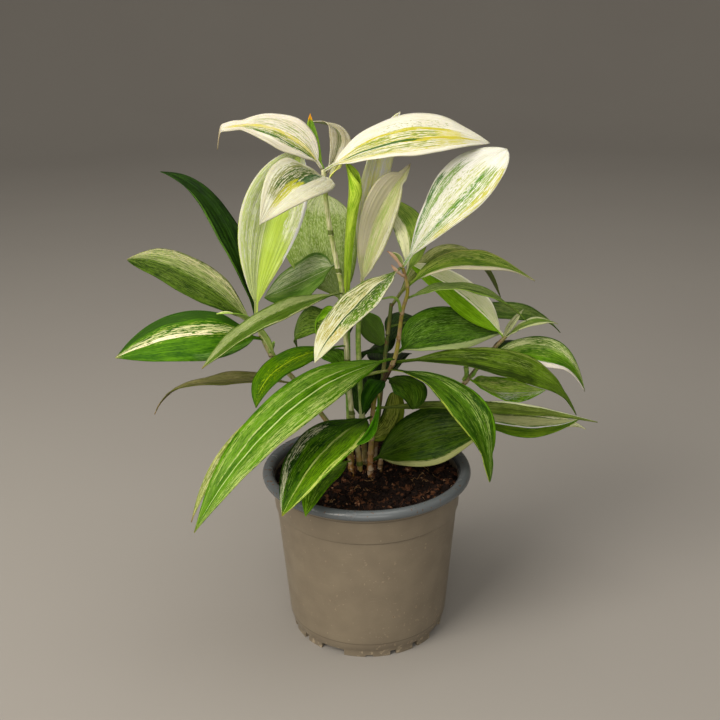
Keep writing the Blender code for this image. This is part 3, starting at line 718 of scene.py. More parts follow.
CANE_FINISHES = {
    "front": CaneFinish("#8C8522", "#7E6236", "#3E2412", "#A58C6C", "#8C5A30", sheath_mm=11.0,
                        scar=(146.0, 170.0)),
    "tall": CaneFinish("#7E9234", "#A4A86A", "#55641E", "#CDCAA2", "#97762C", 3.4, 22.0),
    "spear": CaneFinish("#5A8A1E", "#7FA534", "#4A5A1E", "#A9B868", "#94741E"),
    "middle": CaneFinish("#6E902E", "#9CAE56", "#4A4A1E", "#C2C490", "#82663C"),
    "left": CaneFinish("#74803A", "#8A6A3E", "#4A2A16", "#A5A070", "#8C5A12"),
    "right": CaneFinish("#7E7A3E", "#7A5636", "#33220F", "#A89C70", "#7E5C38"),
    "back": CaneFinish("#4A5A18", "#5C4A22", "#26260E", "#7A7A3E"),
}


@dataclass(frozen=True)
class PotPlastic:
    """Thermoformed polypropylene: a satin skin with faint mottles, scuffs and dust.

    creases are heights in millimetres, where thin lines of painted shade lie.
    """

    body: str = "#7C715F"
    dull: str = "#756A59"
    # The rim's cool grey is partly its own tone and partly painted reflection of the grey surroundings.
    rim: str = "#585D60"
    scuff: str = "#A59A86"
    # The colour of the painted shade in the creases.
    crease_shade: str = "#3E362C"
    lime: str = "#B5A68C"
    dust: str = "#5A3E28"
    creases: tuple[float, ...] = (92.5, 91.3, 77.5, 9.6)

    def material(self) -> Material:
        """Build the pot's material.

        Returns:
            The material.
        """
        # The sheet was drawn hot into a mould, so it is smooth and satin, with cloudy mottles.
        material, tree = new_material("polypropylene, thermoformed")
        place = add_node(tree, "TexCoord", output="Object")
        height = add_node(tree, "SeparateXYZ", {0: place}, output=2)
        # Mottles in the sheet are about 12 mm across.
        mottle = add_node(tree, "TexNoise", {"Vector": place, "Scale": 80.0, "Detail": 4.0})
        tone = add_node(tree, "MapRange", {0: mottle, 1: 0.35, 2: 0.65})
        # Hair scratches run round the wall, 0.4 mm high and 8 mm long, among specks of 1.6 mm.
        drawn = add_node(tree, "Mapping", {"Vector": place, "Scale": (130.0, 130.0, 2400.0)})
        hairs = add_node(tree, "TexNoise", {"Vector": drawn, "Scale": 1.0, "Detail": 2.0})
        hairs = add_node(tree, "MapRange", {0: hairs, 1: 0.66, 2: 0.76, 4: 0.2})
        spots = add_node(tree, "TexNoise", {"Vector": place, "Scale": 620.0, "Detail": 1.0})
        marks = add_node(tree, "MapRange", {0: spots, 1: 0.73, 2: 0.81, 4: 0.4})
        layers = [(tone, self.dull), (hairs, self.scuff), (marks, self.scuff)]
        # Painted shade: the creases under the rim, at the step and above the foot are darkened as thin
        # lines.
        for crease in self.creases:
            near = add_node(tree, "Math", {0: height, 1: crease * MM}, operation="SUBTRACT")
            near = add_node(tree, "Math", {0: near}, operation="ABSOLUTE")
            near = add_node(tree, "MapRange", {0: near, 1: 0.0005, 2: 0.0001, 4: 0.55})
            layers.append((near, self.crease_shade))
        # The rolled rim is glossier than the wall, and cooler grey: partly its own darker tone, partly
        # painted reflection of the grey surroundings on its gloss.
        upper = add_node(tree, "MapRange", {0: height, 1: 0.0948, 2: 0.0956})
        layers.append((upper, self.rim))
        # Lime from watering stays on the foot, and soil on the rim: where each starts and is
        # full up the pot, its most, how patchy it is, where its noise shows, and how well it covers.
        crust = add_node(tree, "TexNoise", {"Vector": place, "Scale": 420.0, "Detail": 3.0})
        patch = add_node(tree, "TexNoise", {"Vector": place, "Scale": 32.0, "Detail": 1.0})
        for tint, start, full, most, spread, least, cover in (
                (self.lime, 0.009, 0.003, 0.12, 0.35, 0.85, 0.6),
                (self.dust, 0.092, 0.098, 0.1, 0.3, 0.86, 0.85)):
            dirt = add_node(tree, "MapRange", {0: height, 1: start, 2: full, 4: most})
            dirt = add_node(tree, "Math", {0: crust, 1: dirt}, operation="ADD")
            dirt = add_node(tree, "Math", {0: patch, 1: spread, 2: dirt}, operation="MULTIPLY_ADD")
            dirt = add_node(tree, "MapRange", {0: dirt, 1: least, 2: 0.93, 4: cover})
            layers.append((dirt, tint))
        rough = add_node(tree, "MapRange", {0: mottle, 1: 0.3, 2: 0.7, 3: 0.4, 4: 0.5})
        rough = add_node(tree, "Math", {0: upper, 1: -0.2, 2: rough}, operation="MULTIPLY_ADD")
        # The skin's own grain is too fine to show, so it is drawn coarser, about 1 mm across.
        grain = add_node(tree, "TexNoise", {"Vector": place, "Scale": 900.0, "Detail": 2.0})
        bump = add_node(tree, "Bump", {"Strength": 0.06, "Distance": 0.0002, "Height": grain})
        close_material(tree, self.body, layers, {"Roughness": rough, "Normal": bump}, IOR=1.49)
        return material


@dataclass(frozen=True)
class PeatFinish:
    """Damp peat and bark: near black lumps with red-brown chips."""

    dark: str
    middle: str
    light: str
    size_mm: float = 2.2

    def material(self, name: str) -> Material:
        """Build the soil's material.

        Args:
            name: The name of the kind of soil.

        Returns:
            The material.
        """
        # Peat is dug and milled, and damp here: it drinks the light and has hardly any gloss.
        material, tree = new_material("peat, " + name)
        place = add_node(tree, "TexCoord", output="Object")
        lumps = add_node(tree, "TexVoronoi", {"Vector": place, "Scale": 1000.0 / self.size_mm},
                         output="Color")
        pick = add_node(tree, "SeparateXYZ", {0: lumps})
        chips = add_node(tree, "MapRange", {0: pick, 1: 0.8, 2: 0.95, 4: 0.8})
        # Grit is too fine to show, so it is drawn coarser, about 1 mm across.
        grit = add_node(tree, "TexNoise", {"Vector": place, "Scale": 900.0, "Detail": 4.0})
        tone = add_node(tree, "MapRange", {0: grit, 1: 0.35, 2: 0.7})
        bump = add_node(tree, "Bump", {"Strength": 0.8, "Distance": 0.0008, "Height": grit})
        close_material(tree, self.dark, [(tone, self.middle), (chips, self.light)], {"Normal": bump},
                       Roughness=0.88, IOR=1.4, Specular_IOR_Level=0.3)
        return material


@dataclass(frozen=True)
class NurseryPot:
    """The pot: a thin wall with a rolled rim, a stacking step and a notched foot ring."""

    height: float = 100.0
    rim_radius: float = 60.0
    rim_depth: float = 4.8
    neck_radius: float = 54.2
    step_height: float = 77.5
    step_radius: float = 52.3
    heel_height: float = 12.0
    heel_radius: float = 46.9
    foot_radius: float = 44.7
    foot_width: float = 2.4
    foot_height: float = 4.0
    wall: float = 1.3
    centre_radius: float = 3.0
    steps: int = 144
    # Foot notches: angle of the middle from the front, angle across, height.
    notches: tuple = ((-27.5, 19.0, 3.8), (0.7, 6.0, 1.2), (18.6, 5.0, 3.0), (37.0, 5.0, 3.8))
    notch_round: float = 0.9
    drain_count: int = 8
    drain_radius: float = 3.5
    drain_circle: float = 34.0

    def profile(self) -> list[tuple[float, float]]:
        """Draw the wall's section, up the inside and down the outside.

        Returns:
            The section's points, as radius and height.
        """
        floor = self.foot_height + self.wall
        neck = self.height - self.rim_depth
        inner = self.neck_radius - self.wall
        return [
            (self.centre_radius, floor),
            (self.heel_radius - self.wall - 2.8, floor),
            (self.heel_radius - self.wall - 1.0, floor + 1.2),
            (self.heel_radius - self.wall, self.heel_height),
            (self.step_radius - self.wall, self.step_height),
            (self.step_radius + 0.9 - self.wall, self.step_height + 1.0),
            (inner, neck - 2.0),
            (inner + 0.15, neck + 0.8),
            (inner + 0.6, self.height - 2.2),
            (inner + 1.4, self.height - 1.0),
            (inner + 2.3, self.height - 0.4),
            (inner + 3.3, self.height - 0.05),
            (inner + 4.3, self.height),
            (self.rim_radius - 1.9, self.height - 0.25),
            (self.rim_radius - 1.0, self.height - 0.8),
            (self.rim_radius - 0.35, self.height - 1.6),
            (self.rim_radius - 0.05, self.height - 2.4),
            (self.rim_radius, self.height - 3.2),
            (self.rim_radius - 0.3, neck + 0.6),
            (self.rim_radius - 0.8, neck + 0.1),
            (self.rim_radius - 1.6, neck + 0.2),
            (self.neck_radius + 1.3, neck + 0.5),
            (self.neck_radius + 0.7, neck),
            (self.neck_radius + 0.65, neck - 0.9),
            (self.neck_radius, neck - 1.6),
            (self.step_radius + 1.0, self.step_height + 1.2),
            (self.step_radius + 0.8, self.step_height + 0.5),
            (self.step_radius - 0.1, self.step_height),
            (self.step_radius - 0.1, self.step_height - 1.5),
            (self.heel_radius, self.heel_height),
            (self.heel_radius - 0.15, self.heel_height - 2.0),
            (self.heel_radius - 0.7, self.heel_height - 4.5),
            (self.heel_radius - 1.6, self.foot_height + 0.8),
            (self.foot_radius + 0.1, self.foot_height),
            (self.foot_radius, 0.2),
            (self.foot_radius - 0.2, 0.0),
            (self.foot_radius - self.foot_width + 0.2, 0.0),
            (self.foot_radius - self.foot_width, 0.2),
            (self.foot_radius - self.foot_width, self.foot_height),
            (self.centre_radius, self.foot_height),
        ]

    def turned_wall(self) -> Piece:
        """Extrude the section point by point and spin it about Z.

        Returns:
            The closed shell of the pot, before its holes.
        """
        points = self.profile()
        deselect()
        bpy.ops.mesh.primitive_plane_add(size=MM)
        pot = bpy.context.object
        pot.name = "nursery_pot"
        bpy.ops.object.mode_set(mode="EDIT")
        bpy.ops.mesh.select_all(action="SELECT")
        bpy.ops.mesh.merge(type="CENTER")
        start = Vector((points[0][0], 0.0, points[0][1])) * MM
        bpy.ops.transform.translate(value=start)
        for (radius, height), (next_radius, next_height) in zip(points, points[1:]):
            step = Vector((next_radius - radius, 0.0, next_height - height)) * MM
            bpy.ops.mesh.extrude_region_move(TRANSFORM_OT_translate={"value": step})
        bpy.ops.mesh.select_all(action="SELECT")
        bpy.ops.mesh.spin(steps=self.steps, angle=math.tau, center=(0.0, 0.0, 0.0), axis=(0.0, 0.0, 1.0))
        bpy.ops.mesh.select_all(action="SELECT")
        bpy.ops.mesh.remove_doubles(threshold=1e-6)
        # The openings in the middle of the floor, above and below, are filled.
        bpy.ops.mesh.select_all(action="DESELECT")
        bpy.ops.mesh.select_non_manifold()
        bpy.ops.mesh.edge_face_add()
        bpy.ops.mesh.select_all(action="SELECT")
        bpy.ops.mesh.normals_make_consistent(inside=False)
        bpy.ops.object.mode_set(mode="OBJECT")
        return pot

    def cutters(self) -> Piece:
        """Make what cuts the foot's notches and the drain holes.

        Returns:
            The cutters as one piece.
        """
        pieces = []
        for quarter in range(4):
            for middle, across, height in self.notches:
                angle = math.radians(middle + 90.0 * quarter)
                width = 2.0 * self.foot_radius * math.sin(math.radians(across / 2))
                place = Matrix.Rotation(angle, 3, "Z") @ Vector((0.0, 1.0 - self.foot_radius, 0.0))
                place.z = height / 2 - 1.0
                deselect()
                bpy.ops.mesh.primitive_cube_add(size=MM, location=place * MM, rotation=(0.0, 0.0, angle))
                notch = bpy.context.object
                notch.scale = (width, self.foot_width + 4.0, height + 2.0)
                focus(notch)
                bpy.ops.object.transform_apply(location=False, rotation=False, scale=True)
                apply_modifier(notch, "BEVEL", width=self.notch_round * MM, segments=3)
                pieces.append(notch)
        for turn in range(self.drain_count):
            angle = math.tau * (turn + 0.5) / self.drain_count
            place = Vector((math.cos(angle) * self.drain_circle, math.sin(angle) * self.drain_circle,
                            self.foot_height + self.wall / 2))
            deselect()
            bpy.ops.mesh.primitive_cylinder_add(vertices=32, radius=self.drain_radius * MM,
                                                depth=4.0 * MM, location=place * MM)
            pieces.append(bpy.context.object)
        return join_pieces("pot_cutters", pieces)

    def build(self) -> None:
        """Build the pot and dress it."""
        pot = self.turned_wall()
        cutter = self.cutters()
        apply_modifier(pot, "BOOLEAN", object=cutter, operation="DIFFERENCE", solver="EXACT")
        bpy.data.objects.remove(cutter)
        focus(pot)
        bpy.ops.object.shade_smooth_by_angle(angle=math.radians(32.0))
        hand_over(pot, PotPlastic().material(), "pot", "pot")


@dataclass(frozen=True)
class SoilBed:
    """The soil in the pot, with loose crumbs and fibres on top."""

    height: float = 91.7
    bank: float = 1.2
    radius: float = 52.7
    floor: float = 5.7
    floor_radius: float = 43.0
    # Layers of relief: size of the lumps, their height, where the noise is read, whether ridged.
    relief: tuple = ((9.0, 2.6, (0.0, 0.0, 0.0), False), (4.2, 2.4, (5.0, 1.0, 8.0), True),
                     (1.9, 1.1, (9.0, 4.0, 2.0), False), (0.9, 0.5, (3.0, 7.0, 5.0), False))
    cells: int = 170
    crumbs: int = 900
    fibres: int = 150

    def level(self, x: float, y: float) -> float:
        """Work out how high the soil lies at a place.

        Args:
            x: The place to the right.
            y: The place to the rear.

        Returns:
            The height in millimetres.
        """
        flat = Vector((x, y, 0.0))
        height = self.height + (1.0 - (flat.length / self.radius) ** 2) * self.bank
        for size, rise, shift, ridged in self.relief:
            lump = noise.noise(flat / size + Vector(shift))
            height += (abs(lump) if ridged else lump) * rise
        return height

    def bed(self) -> Piece:
        """Build the body of the soil from a grid bent to a disc.

        Returns:
            The soil's body.
        """
        deselect()
        bpy.ops.mesh.primitive_grid_add(x_subdivisions=self.cells, y_subdivisions=self.cells, size=2.0)
        bed = bpy.context.object
        bed.name = "potting_soil"
        for corner in bed.data.vertices:
            a, b = corner.co.x, corner.co.y
            x = a * math.sqrt(max(1.0 - b * b / 2, 0.0)) * self.radius
            y = b * math.sqrt(max(1.0 - a * a / 2, 0.0)) * self.radius
            corner.co = Vector((x, y, self.level(x, y))) * MM
        bpy.ops.object.mode_set(mode="EDIT")
        bpy.ops.mesh.select_all(action="SELECT")
        bpy.ops.mesh.region_to_loop()
        # The ring goes down to the pot's floor and is flattened there.
        down = (0.0, 0.0, (self.floor - self.height) * MM)
        bpy.ops.mesh.extrude_region_move(TRANSFORM_OT_translate={"value": down})
        share = self.floor_radius / self.radius
        bpy.ops.transform.resize(value=(share, share, 0.0), center_override=(0.0, 0.0, self.floor * MM))
        bpy.ops.mesh.edge_face_add()
        bpy.ops.mesh.select_all(action="SELECT")
        bpy.ops.mesh.normals_make_consistent(inside=False)
        bpy.ops.object.mode_set(mode="OBJECT")
        bpy.ops.object.shade_smooth_by_angle(angle=math.radians(50.0))
        return bed

    def scatter(self, dice: random.Random) -> tuple[float, float]:
        """Draw a random place on the soil, even over its area.

        Args:
            dice: What draws the random numbers.

        Returns:
            The place, to the right and to the rear.
        """
        reach = self.radius * math.sqrt(dice.random()) * 0.985
        angle = dice.uniform(0.0, math.tau)
        return reach * math.cos(angle), reach * math.sin(angle)

    def lumps(self, name: str, count: int, sizes: tuple[float, float], seed: int) -> Piece:
        """Scatter copies of one lump of peat or bark.

        Args:
            name: The joined piece's name.
            count: How many lumps there are.
            sizes: The least and the greatest radius.
            seed: The seed of the scatter.

        Returns:
            The lumps as one piece.
        """
        dice = random.Random(seed)
        deselect()
        bpy.ops.mesh.primitive_ico_sphere_add(subdivisions=2, radius=1.0)
        lump = bpy.context.object
        for corner in lump.data.vertices:
            corner.co *= 1.0 + 0.45 * noise.noise(corner.co * 1.7 + Vector((seed, 0.0, 0.0)))
        pieces = []
        for _ in range(count):
            x, y = self.scatter(dice)
            size = dice.uniform(*sizes) * (1.0 if dice.random() < 0.8 else 1.5)
            copy = bpy.data.objects.new(name, lump.data.copy())
            bpy.context.collection.objects.link(copy)
            copy.location = Vector((x, y, self.level(x, y) + 0.15 * size)) * MM
            copy.rotation_euler = [dice.uniform(0.0, math.tau) for _ in range(3)]
            copy.scale = [size * MM * dice.uniform(0.6, 1.5) for _ in range(3)]
            pieces.append(copy)
        bpy.data.objects.remove(lump)
        return join_pieces(name, pieces)

    def strands(self, name: str, count: int, radius: float, seed: int) -> Piece:
        """Scatter thin bent fibres over the soil.

        Args:
            name: The joined piece's name.
            count: How many fibres there are.
            radius: A fibre's radius.
            seed: The seed of the scatter.

        Returns:
            The fibres as one piece.
        """
        dice = random.Random(seed)
        runs = []
        for _ in range(count):
            x, y = self.scatter(dice)
            angle = dice.uniform(0.0, math.tau)
            bend = dice.uniform(-0.35, 0.35)
            step = dice.uniform(0.7, 2.0)
            run = []
            for _ in range(6):
                if math.hypot(x, y) > self.radius - 1.0:
                    x, y = x * 0.97, y * 0.97
                lift = 0.5 + 0.5 * noise.noise(Vector((x, y, seed)) / 3.0)
                run.append((Vector((x, y, self.level(x, y) + lift)), radius))
                x += math.cos(angle) * step
                y += math.sin(angle) * step
                angle += bend
            runs.append(run)
        return draw_tubes(name, runs, 0)

    def build(self) -> None:
        """Build the soil, its crumbs and its fibres, and dress them."""
        # The damp peat's near black is partly its own colour and partly painted shade, for the shadow of
        # the rim and the leaves over the soil.
        peat = PeatFinish("#090402", "#211008", "#5C3922").material("damp")
        bark = PeatFinish("#341A0D", "#68412A", "#AB8462", 1.2).material("bark chips")
        root = PeatFinish("#5E4428", "#8F6E46", "#B2946A", 1.5).material("dry roots")
        hand_over(self.bed(), peat, "soil", "soil")
        hand_over(self.lumps("soil_crumbs", self.crumbs, (0.5, 1.5), 3), peat, "soil")
        hand_over(self.lumps("bark_chips", self.crumbs // 5, (0.4, 1.3), 8), bark, "soil")
        hand_over(self.strands("peat_fibres", self.fibres, 0.16, 5), bark, "soil")
        hand_over(self.strands("dry_roots", self.fibres // 4, 0.22, 12), root, "soil")


@dataclass(frozen=True)
class Cane:
    """A stem: its radius at the soil and the top, the points it passes, and its joints."""

    name: str
    slot: str
    foot_radius: float
    top_radius: float
    path: tuple
    joints: tuple
    root_depth: float = 70.0
    collar: float = 97.0
    # Joints in the soil and at its surface, which every cane has.
    low_joints: tuple = (80.0, 97.5)
    # A joint is a low ring that starts this far below its mark.
    joint_half: float = 0.9

    @property
    def top(self) -> float:
        """Return the height of the cane's head."""
        return self.path[-1][2]

    def at(self, height: float) -> Vector:
        """Find the middle of the cane at a height, by halving.

        Args:
            height: The height in millimetres.

        Returns:
            The point in millimetres.
        """
        x, y = self.path[0]
        # The cane stands upright in the soil, and then goes as the table says.
        places = [(x, y, self.root_depth), (x, y, self.collar), *self.path[1:]]
        points = [Vector(place) for place in places]
        low, high = 0.0, float(len(points) - 1)
        for _ in range(30):
            half = (low + high) / 2
            if smooth_point(points, half).z < height:
                low = half
            else:
                high = half
        return smooth_point(points, high)

    def radius(self, height: float) -> float:
        """Return the cane's radius at a height, without its joints."""
        share = min(max((height - self.root_depth) / (self.top - self.root_depth), 0.0), 1.0)
        return self.foot_radius + (self.top_radius - self.foot_radius) * share

    def above_joint(self, height: float) -> float:
        """Work out how far a height is above the joint below it.

        Args:
            height: The height in millimetres.

        Returns:
            The distance in millimetres, from 0.
        """
        half = self.joint_half
        below = [height - joint for joint in (*self.low_joints, *self.joints) if joint <= height + half]
        return max(min(below, default=30.0) + half, 0.0)

    def build(self) -> None:
        """Build the cane as a tube with swollen joints and stepped sheaths, and dress it."""
        run = []
        height = self.root_depth
        while height < self.top:
            gap = self.above_joint(height)
            ring = 0.24 * math.exp(-((gap - self.joint_half) / self.joint_half) ** 2)
            swell = ring + 0.07 * max(1.0 - gap / 9.0, 0.0)
            run.append((self.at(height), self.radius(height) * (1.0 + swell)))
            height += 1.0
        run.append((self.at(self.top), self.radius(self.top) * 0.9))
        stem = draw_tubes("stem_" + self.name, [run], 4)
        joint = stem.data.attributes.new("joint", "FLOAT", "POINT")
        for index, corner in enumerate(stem.data.vertices):
            joint.data[index].value = self.above_joint(corner.co.z / MM)
        bpy.ops.object.shade_smooth_by_angle(angle=math.radians(40.0))
        finish = CANE_FINISHES[self.name].material(self.name)
        hand_over(stem, finish, self.slot, "cane_" + self.name)


CANES = {cane.name: cane for cane in (
    Cane("front", "cane", 1.8, 0.9, ((2, -2), (3, -3, 118), (5, -4, 143), (12, -5, 157), (17, -5, 170),
                                     (20, -4, 192), (23, -4, 205), (20, -5, 219)),
         (103, 108, 117, 129, 147, 163, 178, 192, 207)),
    Cane("tall", "sheath", 1.6, 1.25, ((-4, 5), (-9, 3, 140), (-12, -1, 200), (-15, -2, 220),
                                       (-19, -3, 245), (-21, -3, 270)), (130, 162, 188, 215, 236, 259)),
    Cane("spear", "young", 1.6, 1.5, ((-9, 9), (-10, 9, 130), (-10, 8, 170), (-10, 5, 200)),
         (120, 150, 180)),
    Cane("middle", "young", 1.6, 1.5, ((-1, 10), (-3, 10, 140), (-4, 9, 175), (-2, 8, 203)),
         (125, 155, 185)),
    Cane("left", "cane", 1.5, 1.4, ((-9, 0), (-13, 0, 112), (-38, 0, 150), (-52, -2, 168),
                                    (-60, -4, 190)), (107, 122, 136, 150, 168, 180)),
    Cane("right", "cane", 1.4, 1.2, ((8, 5), (13, 8, 108), (42, 17, 129), (58, 23, 141),
                                     (71, 27, 156), (82, 30, 167)), (116, 128, 141, 156)),
    Cane("back", "young", 1.3, 1.1, ((5, 12), (8, 16, 130), (12, 20, 165), (15, 22, 190)),
         (120, 150, 172)),
)}


@dataclass(frozen=True)
class Blade:
    """An open leaf: the cane and height it leaves, its middle and tip, its width and its lie.

    finish names another leaf's finish, if it shares one. roll and fold are degrees. widest, wave,
    hook, drip, droop and lean shape it: where it is widest, how much it waves, how far its tip
    bends down, how long its drawn out tip is, how far that sags back, and how uneven its sides are.
    """

    name: str
    cane: str
    height: float
    middle: tuple
    tip: tuple
    width: float
    slot: str
    finish: str = ""
    roll: float = 0.0
    fold: float = 14.0
    widest: float = 0.45
    wave: float = 1.0
    hook: float = 0.0
    hook_start: float = 0.75
    drip: float = 0.0
    droop: float = 0.0
    lean: float = 0.0
    in_cad: bool = True
    cells: tuple[int, int] = (56, 16)
    thickness: float = 0.45
    stalk: float = 0.06
    stalk_width: float = 2.6
    tip_width: float = 0.4
    clasp: float = 48.0
    clasp_end: float = 0.14
    fold_end: float = 0.2
    fullness: float = 1.85
    # Swellings of living tissue: how wide and how high they are.
    swell: tuple[float, float] = (11.0, 0.55)

    def outline(self, place: float, hand: float) -> float:
        """Work out half the blade's width at a place along it, as a share of its widest.

        Args:
            place: The place along the blade, from 0 to 1.
            hand: 1 or -1, for the side of the blade.

        Returns:
            The share, from 0 to 1.
        """
        place = max(place - self.stalk, 0.0) / (1.0 - self.stalk)
        widest = self.widest + self.lean * hand
        body = min(place / (1.0 - self.drip), 1.0)
        rise, fall = self.fullness * widest, self.fullness * (1.0 - widest)
        share = (body / widest) ** rise * ((1.0 - body) / (1.0 - widest)) ** fall
        if self.drip > 0.0:
            # The blade is drawn out into a narrow tip.
            share = max(share, 0.3 * min((1.0 - place) / self.drip, 1.0) ** 0.7 * min(place * 4.0, 1.0))
        return share

    def side(self, base: Vector, heading: Vector) -> Vector:
        """Find the way across the blade: level, then rolled about its heading.

        Args:
            base: Where the leaf starts.
            heading: The way along the blade.

        Returns:
            The way across, of length 1.
        """
        level = UP.cross(Vector(self.tip) - base)
        side = (level - heading * level.dot(heading)).normalized()
        side.rotate(Matrix.Rotation(math.radians(self.roll), 3, heading))
        return side

    def base(self) -> Vector:
        """Find where the leaf starts, just inside its cane's skin.

        Returns:
            The point in millimetres.
        """
        cane = CANES[self.cane]
        centre = cane.at(self.height)
        stem = (centre - cane.at(self.height - 2.0)).normalized()
        outward = Vector(self.middle) - centre
        outward = (outward - stem * outward.dot(stem)).normalized()
        return centre + outward * cane.radius(self.height) * 0.6

    def point(self, base: Vector, along: float, across: float) -> Vector:
        """Find a point of the blade.

        Args:
            base: Where the leaf starts.
            along: The place from the base, 0, to the tip, 1.
            across: The place across, from -1 to 1.

        Returns:
            The point in millimetres.
        """
        middle, tip = Vector(self.middle), Vector(self.tip)
        shoulder = 2.0 * middle - (base + tip) / 2
        reach = along - self.droop * max(along - self.hook_start, 0.0)
        heading = (shoulder.lerp(tip, along) - base.lerp(shoulder, along)).normalized()
        side = self.side(base, heading)
        face = heading.cross(side)
        hand = math.copysign(1.0, across)
        stalk = self.stalk_width + (self.tip_width - self.stalk_width) * min(along * 1.3, 1.0)
        half = max(self.width * self.outline(along, hand), stalk) / 2
        fold = math.radians(self.fold) * min(along / self.fold_end, 1.0)
        # The stalk is a channel that clasps the cane.
        fold += math.radians(self.clasp) * max(1.0 - along / self.clasp_end, 0.0)
        gutter = abs(across) * half * math.sin(fold) * (1.0 - 0.45 * abs(across))
        # The margins ripple a little more than one and a half times, and flutter finely on top.
        ripple = math.sin(math.tau * (1.6 * along + 0.15 * hand))
        wave = ripple * across * across * half / (self.width / 2)
        flutter = math.sin(math.tau * (4.3 * along + 0.31 * hand) + self.height)
        wave += 0.22 * flutter * across**4 * min(along * 4.0, 1.0) * (1.0 - along)
        place = base.lerp(shoulder, reach).lerp(shoulder.lerp(tip, reach), reach)
        calm = min(along * 5.0, 1.0) * min((1.0 - along) * 5.0, 1.0)
        spot = (place + side * across * half) / self.swell[0] + Vector((self.height, self.width, 0.0))
        wave += self.swell[1] * calm * noise.noise(spot)
        place.z -= self.hook * (max(along - self.hook_start, 0.0) / (1.0 - self.hook_start)) ** 2
        return place + side * (across * half * math.cos(fold)) + face * (gutter + self.wave * wave)

    def build(self) -> None:
        """Bend a grid to the blade, thicken it and dress it."""
        base, middle, tip = self.base(), Vector(self.middle), Vector(self.tip)
        size = (self.width, (middle - base).length + (tip - middle).length)
        # No two leaves lie on the same place of the pattern.
        shift = Vector((self.height * 7.3 + middle.x, self.width * 11.0 + middle.y * 3.0))
        leaf = bend_sheet("blade_" + self.name, self.cells, size, shift,
                          lambda along, across: self.point(base, along, across), self.thickness)
        count = self.cells[0] * self.cells[1]
        below = leaf.data.attributes.new("below", "FLOAT", "FACE")
        for index in range(count, 2 * count):
            below.data[index].value = 1.0
        finish = FINISHES[self.finish or self.name].material(self.name)
        hand_over(leaf, finish, self.slot, *["leaf_" + self.name] * self.in_cad)


